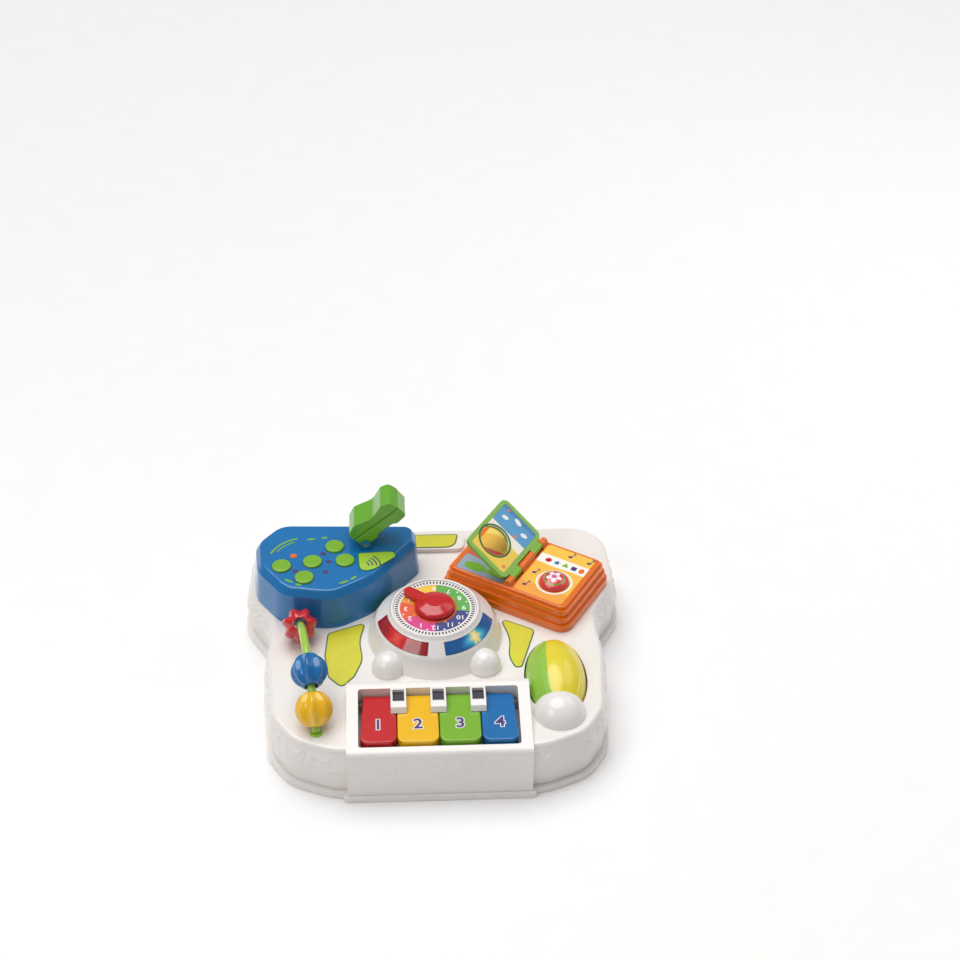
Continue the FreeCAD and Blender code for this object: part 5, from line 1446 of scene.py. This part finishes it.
@dataclass
class Bead:
    """One bead: a ball whose waist is drawn in between lobes, bored for the rod."""

    node: str
    body: Body
    angle: float
    finish: Finish
    slot: str
    lobes: int
    depth: float
    spread: float
    radius: float = 18.5
    half: float = 17.0
    bore: float = 6.5
    around: int = 96
    outer_steps: int = 30
    bore_steps: int = 6
    bore_ease: float = 0.4
    full_depth_from: float = 12.0

    def profile(self) -> list[Point]:
        """Half the bead's section, round the outside and back through the bore.

        Returns:
            The section's points: distance from the bore's axis, and height along it.
        """
        start = math.asin(self.half / self.radius)
        outer = [(self.radius * math.cos(a), self.radius * math.sin(a))
                 for a in (-start + 2 * start * i / self.outer_steps for i in range(self.outer_steps + 1))]
        inner = [(self.bore, self.half * (1 - 2 * i / self.bore_steps)) for i in range(self.bore_steps + 1)]
        return outer + inner

    def build(self, place: Matrix) -> None:
        """Grows the lobed bead and seats it on the rod in place of the plain CAD one.

        Args:
            place: The bead's frame, with its bore along Z, in metres.
        """
        bm = bmesh.new()
        line = self.profile()
        rings = [[bm.verts.new((r * math.cos(a) * MM, r * math.sin(a) * MM, z * MM)) for r, z in line]
                 for a in (2 * math.pi * i / self.around for i in range(self.around))]
        for i in range(self.around):
            ring, following = rings[i], rings[(i + 1) % self.around]
            for j in range(len(line)):
                k = (j + 1) % len(line)
                bm.faces.new((ring[j], following[j], following[k], ring[k]))
        bmesh.ops.recalc_face_normals(bm, faces=bm.faces)
        base = bpy.data.meshes.new(f"{self.node}_blank")
        bm.to_mesh(base)
        bm.free()
        growth = Growth(f"{self.node}_lobes", {
            "Lobes": self.lobes, "Lobe Depth": self.depth, "Valley Spread": self.spread,
            "Bore Radius": (self.bore + self.bore_ease) * MM, "Outer Radius": self.full_depth_from * MM})
        spot = growth.add("GeometryNodeInputPosition").outputs[0]
        parts = growth.add("ShaderNodeSeparateXYZ", None, {0: spot}).outputs
        angle = growth.math("ARCTAN2", parts[1], parts[0])
        wave = growth.math("COSINE", growth.math("MULTIPLY", angle, growth.given["Lobes"]))
        dip = growth.math("POWER", growth.math("MAXIMUM", growth.math("SUBTRACT", 0.5, growth.math(
            "MULTIPLY", wave, 0.5)), 0.0), growth.given["Valley Spread"])
        reach = growth.math("SQRT", growth.math("ADD", growth.math("POWER", parts[0], 2.0),
                                                growth.math("POWER", parts[1], 2.0)))
        away = growth.add("ShaderNodeMapRange", None, {"Value": reach, "From Min": growth.given["Bore Radius"],
                                                       "From Max": growth.given["Outer Radius"]})
        drawn = growth.math("SUBTRACT", 1.0, growth.math("MULTIPLY", growth.math(
            "MULTIPLY", dip, growth.given["Lobe Depth"]), away.outputs[0]))
        inwards = [growth.math("MULTIPLY", part, drawn) for part in parts[:2]]
        moved = growth.vector(*inwards, parts[2])
        shaped = growth.add("GeometryNodeSetPosition", None,
                            {"Geometry": growth.given["Geometry"], "Position": moved})
        mesh = growth.grow(shaped.outputs[0], base, self.finish)
        mesh.transform(place)
        bead = mount(f"{self.node}_lobed", mesh, self.body.value, self.finish, True)
        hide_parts(self.node)


@dataclass
class BeadArch:
    """The bent rod and its three beads."""

    middle: tuple[float, float, float] = (-130.5, -66.0, 22.0)
    radius: float = 85.0
    turn: float = 7.7
    beads: tuple[Bead, ...] = (
        Bead("red_bead", Body.RED_BEAD, 47.0, RED, "red_plastic", 7, 0.2, 1.3),
        Bead("blue_bead", Body.BLUE_BEAD, -21.0, BLUE, "blue_plastic", 8, 0.2, 0.55),
        Bead("yellow_bead", Body.YELLOW_BEAD, -47.0, YELLOW, "yellow_plastic", 8, 0.2, 0.55))

    def dress(self, nodes: dict[str, bpy.types.Object]) -> None:
        """Gives the rod its finish."""
        dress(nodes["bead_rod"], ROD_LIME)

    def build(self) -> None:
        """Builds each bead at its place on the rod."""
        lean = math.radians(self.turn)
        along = Vector((-math.sin(lean), math.cos(lean), 0))
        for bead in self.beads:
            a = math.radians(bead.angle)
            spot = Vector(self.middle) + along * (self.radius * math.sin(a))
            spot.z += self.radius * math.cos(a)
            tangent = along * math.cos(a) - Vector((0, 0, math.sin(a)))
            turn = Vector((0, 0, 1)).rotation_difference(tangent).to_matrix().to_4x4()
            bead.build(Matrix.Translation(spot * MM) @ turn)


@dataclass
class Labels:
    """Stuck-on labels: green edges with a speckled yellow panel inside."""

    left: tuple[Corner, ...] = ((-111, 4, 6), (-114, -30, 20), (-110, -62, 8), (-96, -78, 5), (-83, -62, 6),
                                (-74, -37, 40), (-78, -9, 60), (-71, 20, 4))
    right: tuple[Corner, ...] = ((68, 22, 4), (78, -14, 60), (73, -37, 40), (84, -64, 5), (88.5, -50, 20),
                                 (100, -12, 20), (104, 2, 6))
    rear: tuple[Corner, ...] = ((-26, 133.5, 12), (26, 133.5, 12), (30, 156, 3), (-30, 156, 3))
    edge: float = 1.2
    print_thick: float = 0.1
    deck_top: float = 60.5
    boss_top: float = 65.5

    def dress(self, nodes: dict[str, bpy.types.Object]) -> None:
        """Gives the labels' edges and the crescents their inks.

        Args:
            nodes: Every CAD node by its name.
        """
        for name in ("deck_label_left", "deck_label_right", "back_label"):
            dress(nodes[name], GREEN_INK)
        dress(nodes["crescent_left"], SpottedPrint("olive_label_ink", "#C9C22B", "#BDB726", "#E8A02A"))
        dress(nodes["crescent_right"], SpottedPrint("leaf_label_ink", "#7DBB3A", "#72B033", "#C9DF4A"))

    def build(self) -> None:
        """Lays a speckled panel inside each label's edge."""
        ink = SpottedPrint("yellow_label_ink", "#DAD62E", "#D0CB28", "#E8A02A")
        for name, corners, height in (("left_label_panel", self.left, self.deck_top),
                                      ("right_label_panel", self.right, self.deck_top),
                                      ("rear_label_panel", self.rear, self.boss_top)):
            outline = rounded(corners, self.edge)
            mesh = flat_shapes(name, [outline], Matrix.Identity(4), height, self.print_thick)
            mount(name, mesh, Body.TABLE.value, ink)


def main() -> None:
    """Builds every sub-assembly."""
    logging.basicConfig(level=logging.INFO, format="%(message)s")
    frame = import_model()
    bpy.context.scene.view_settings.view_transform = "Standard"
    Studio().build()
    for part in (Case(), Keyboard(), Dial(), Phone(), Book(), Roller(), BeadArch(), Labels()):
        part.dress(frame["nodes"])
        part.build()
        log.info("%s is done", type(part).__name__)


if __name__ == "__main__":
    main()
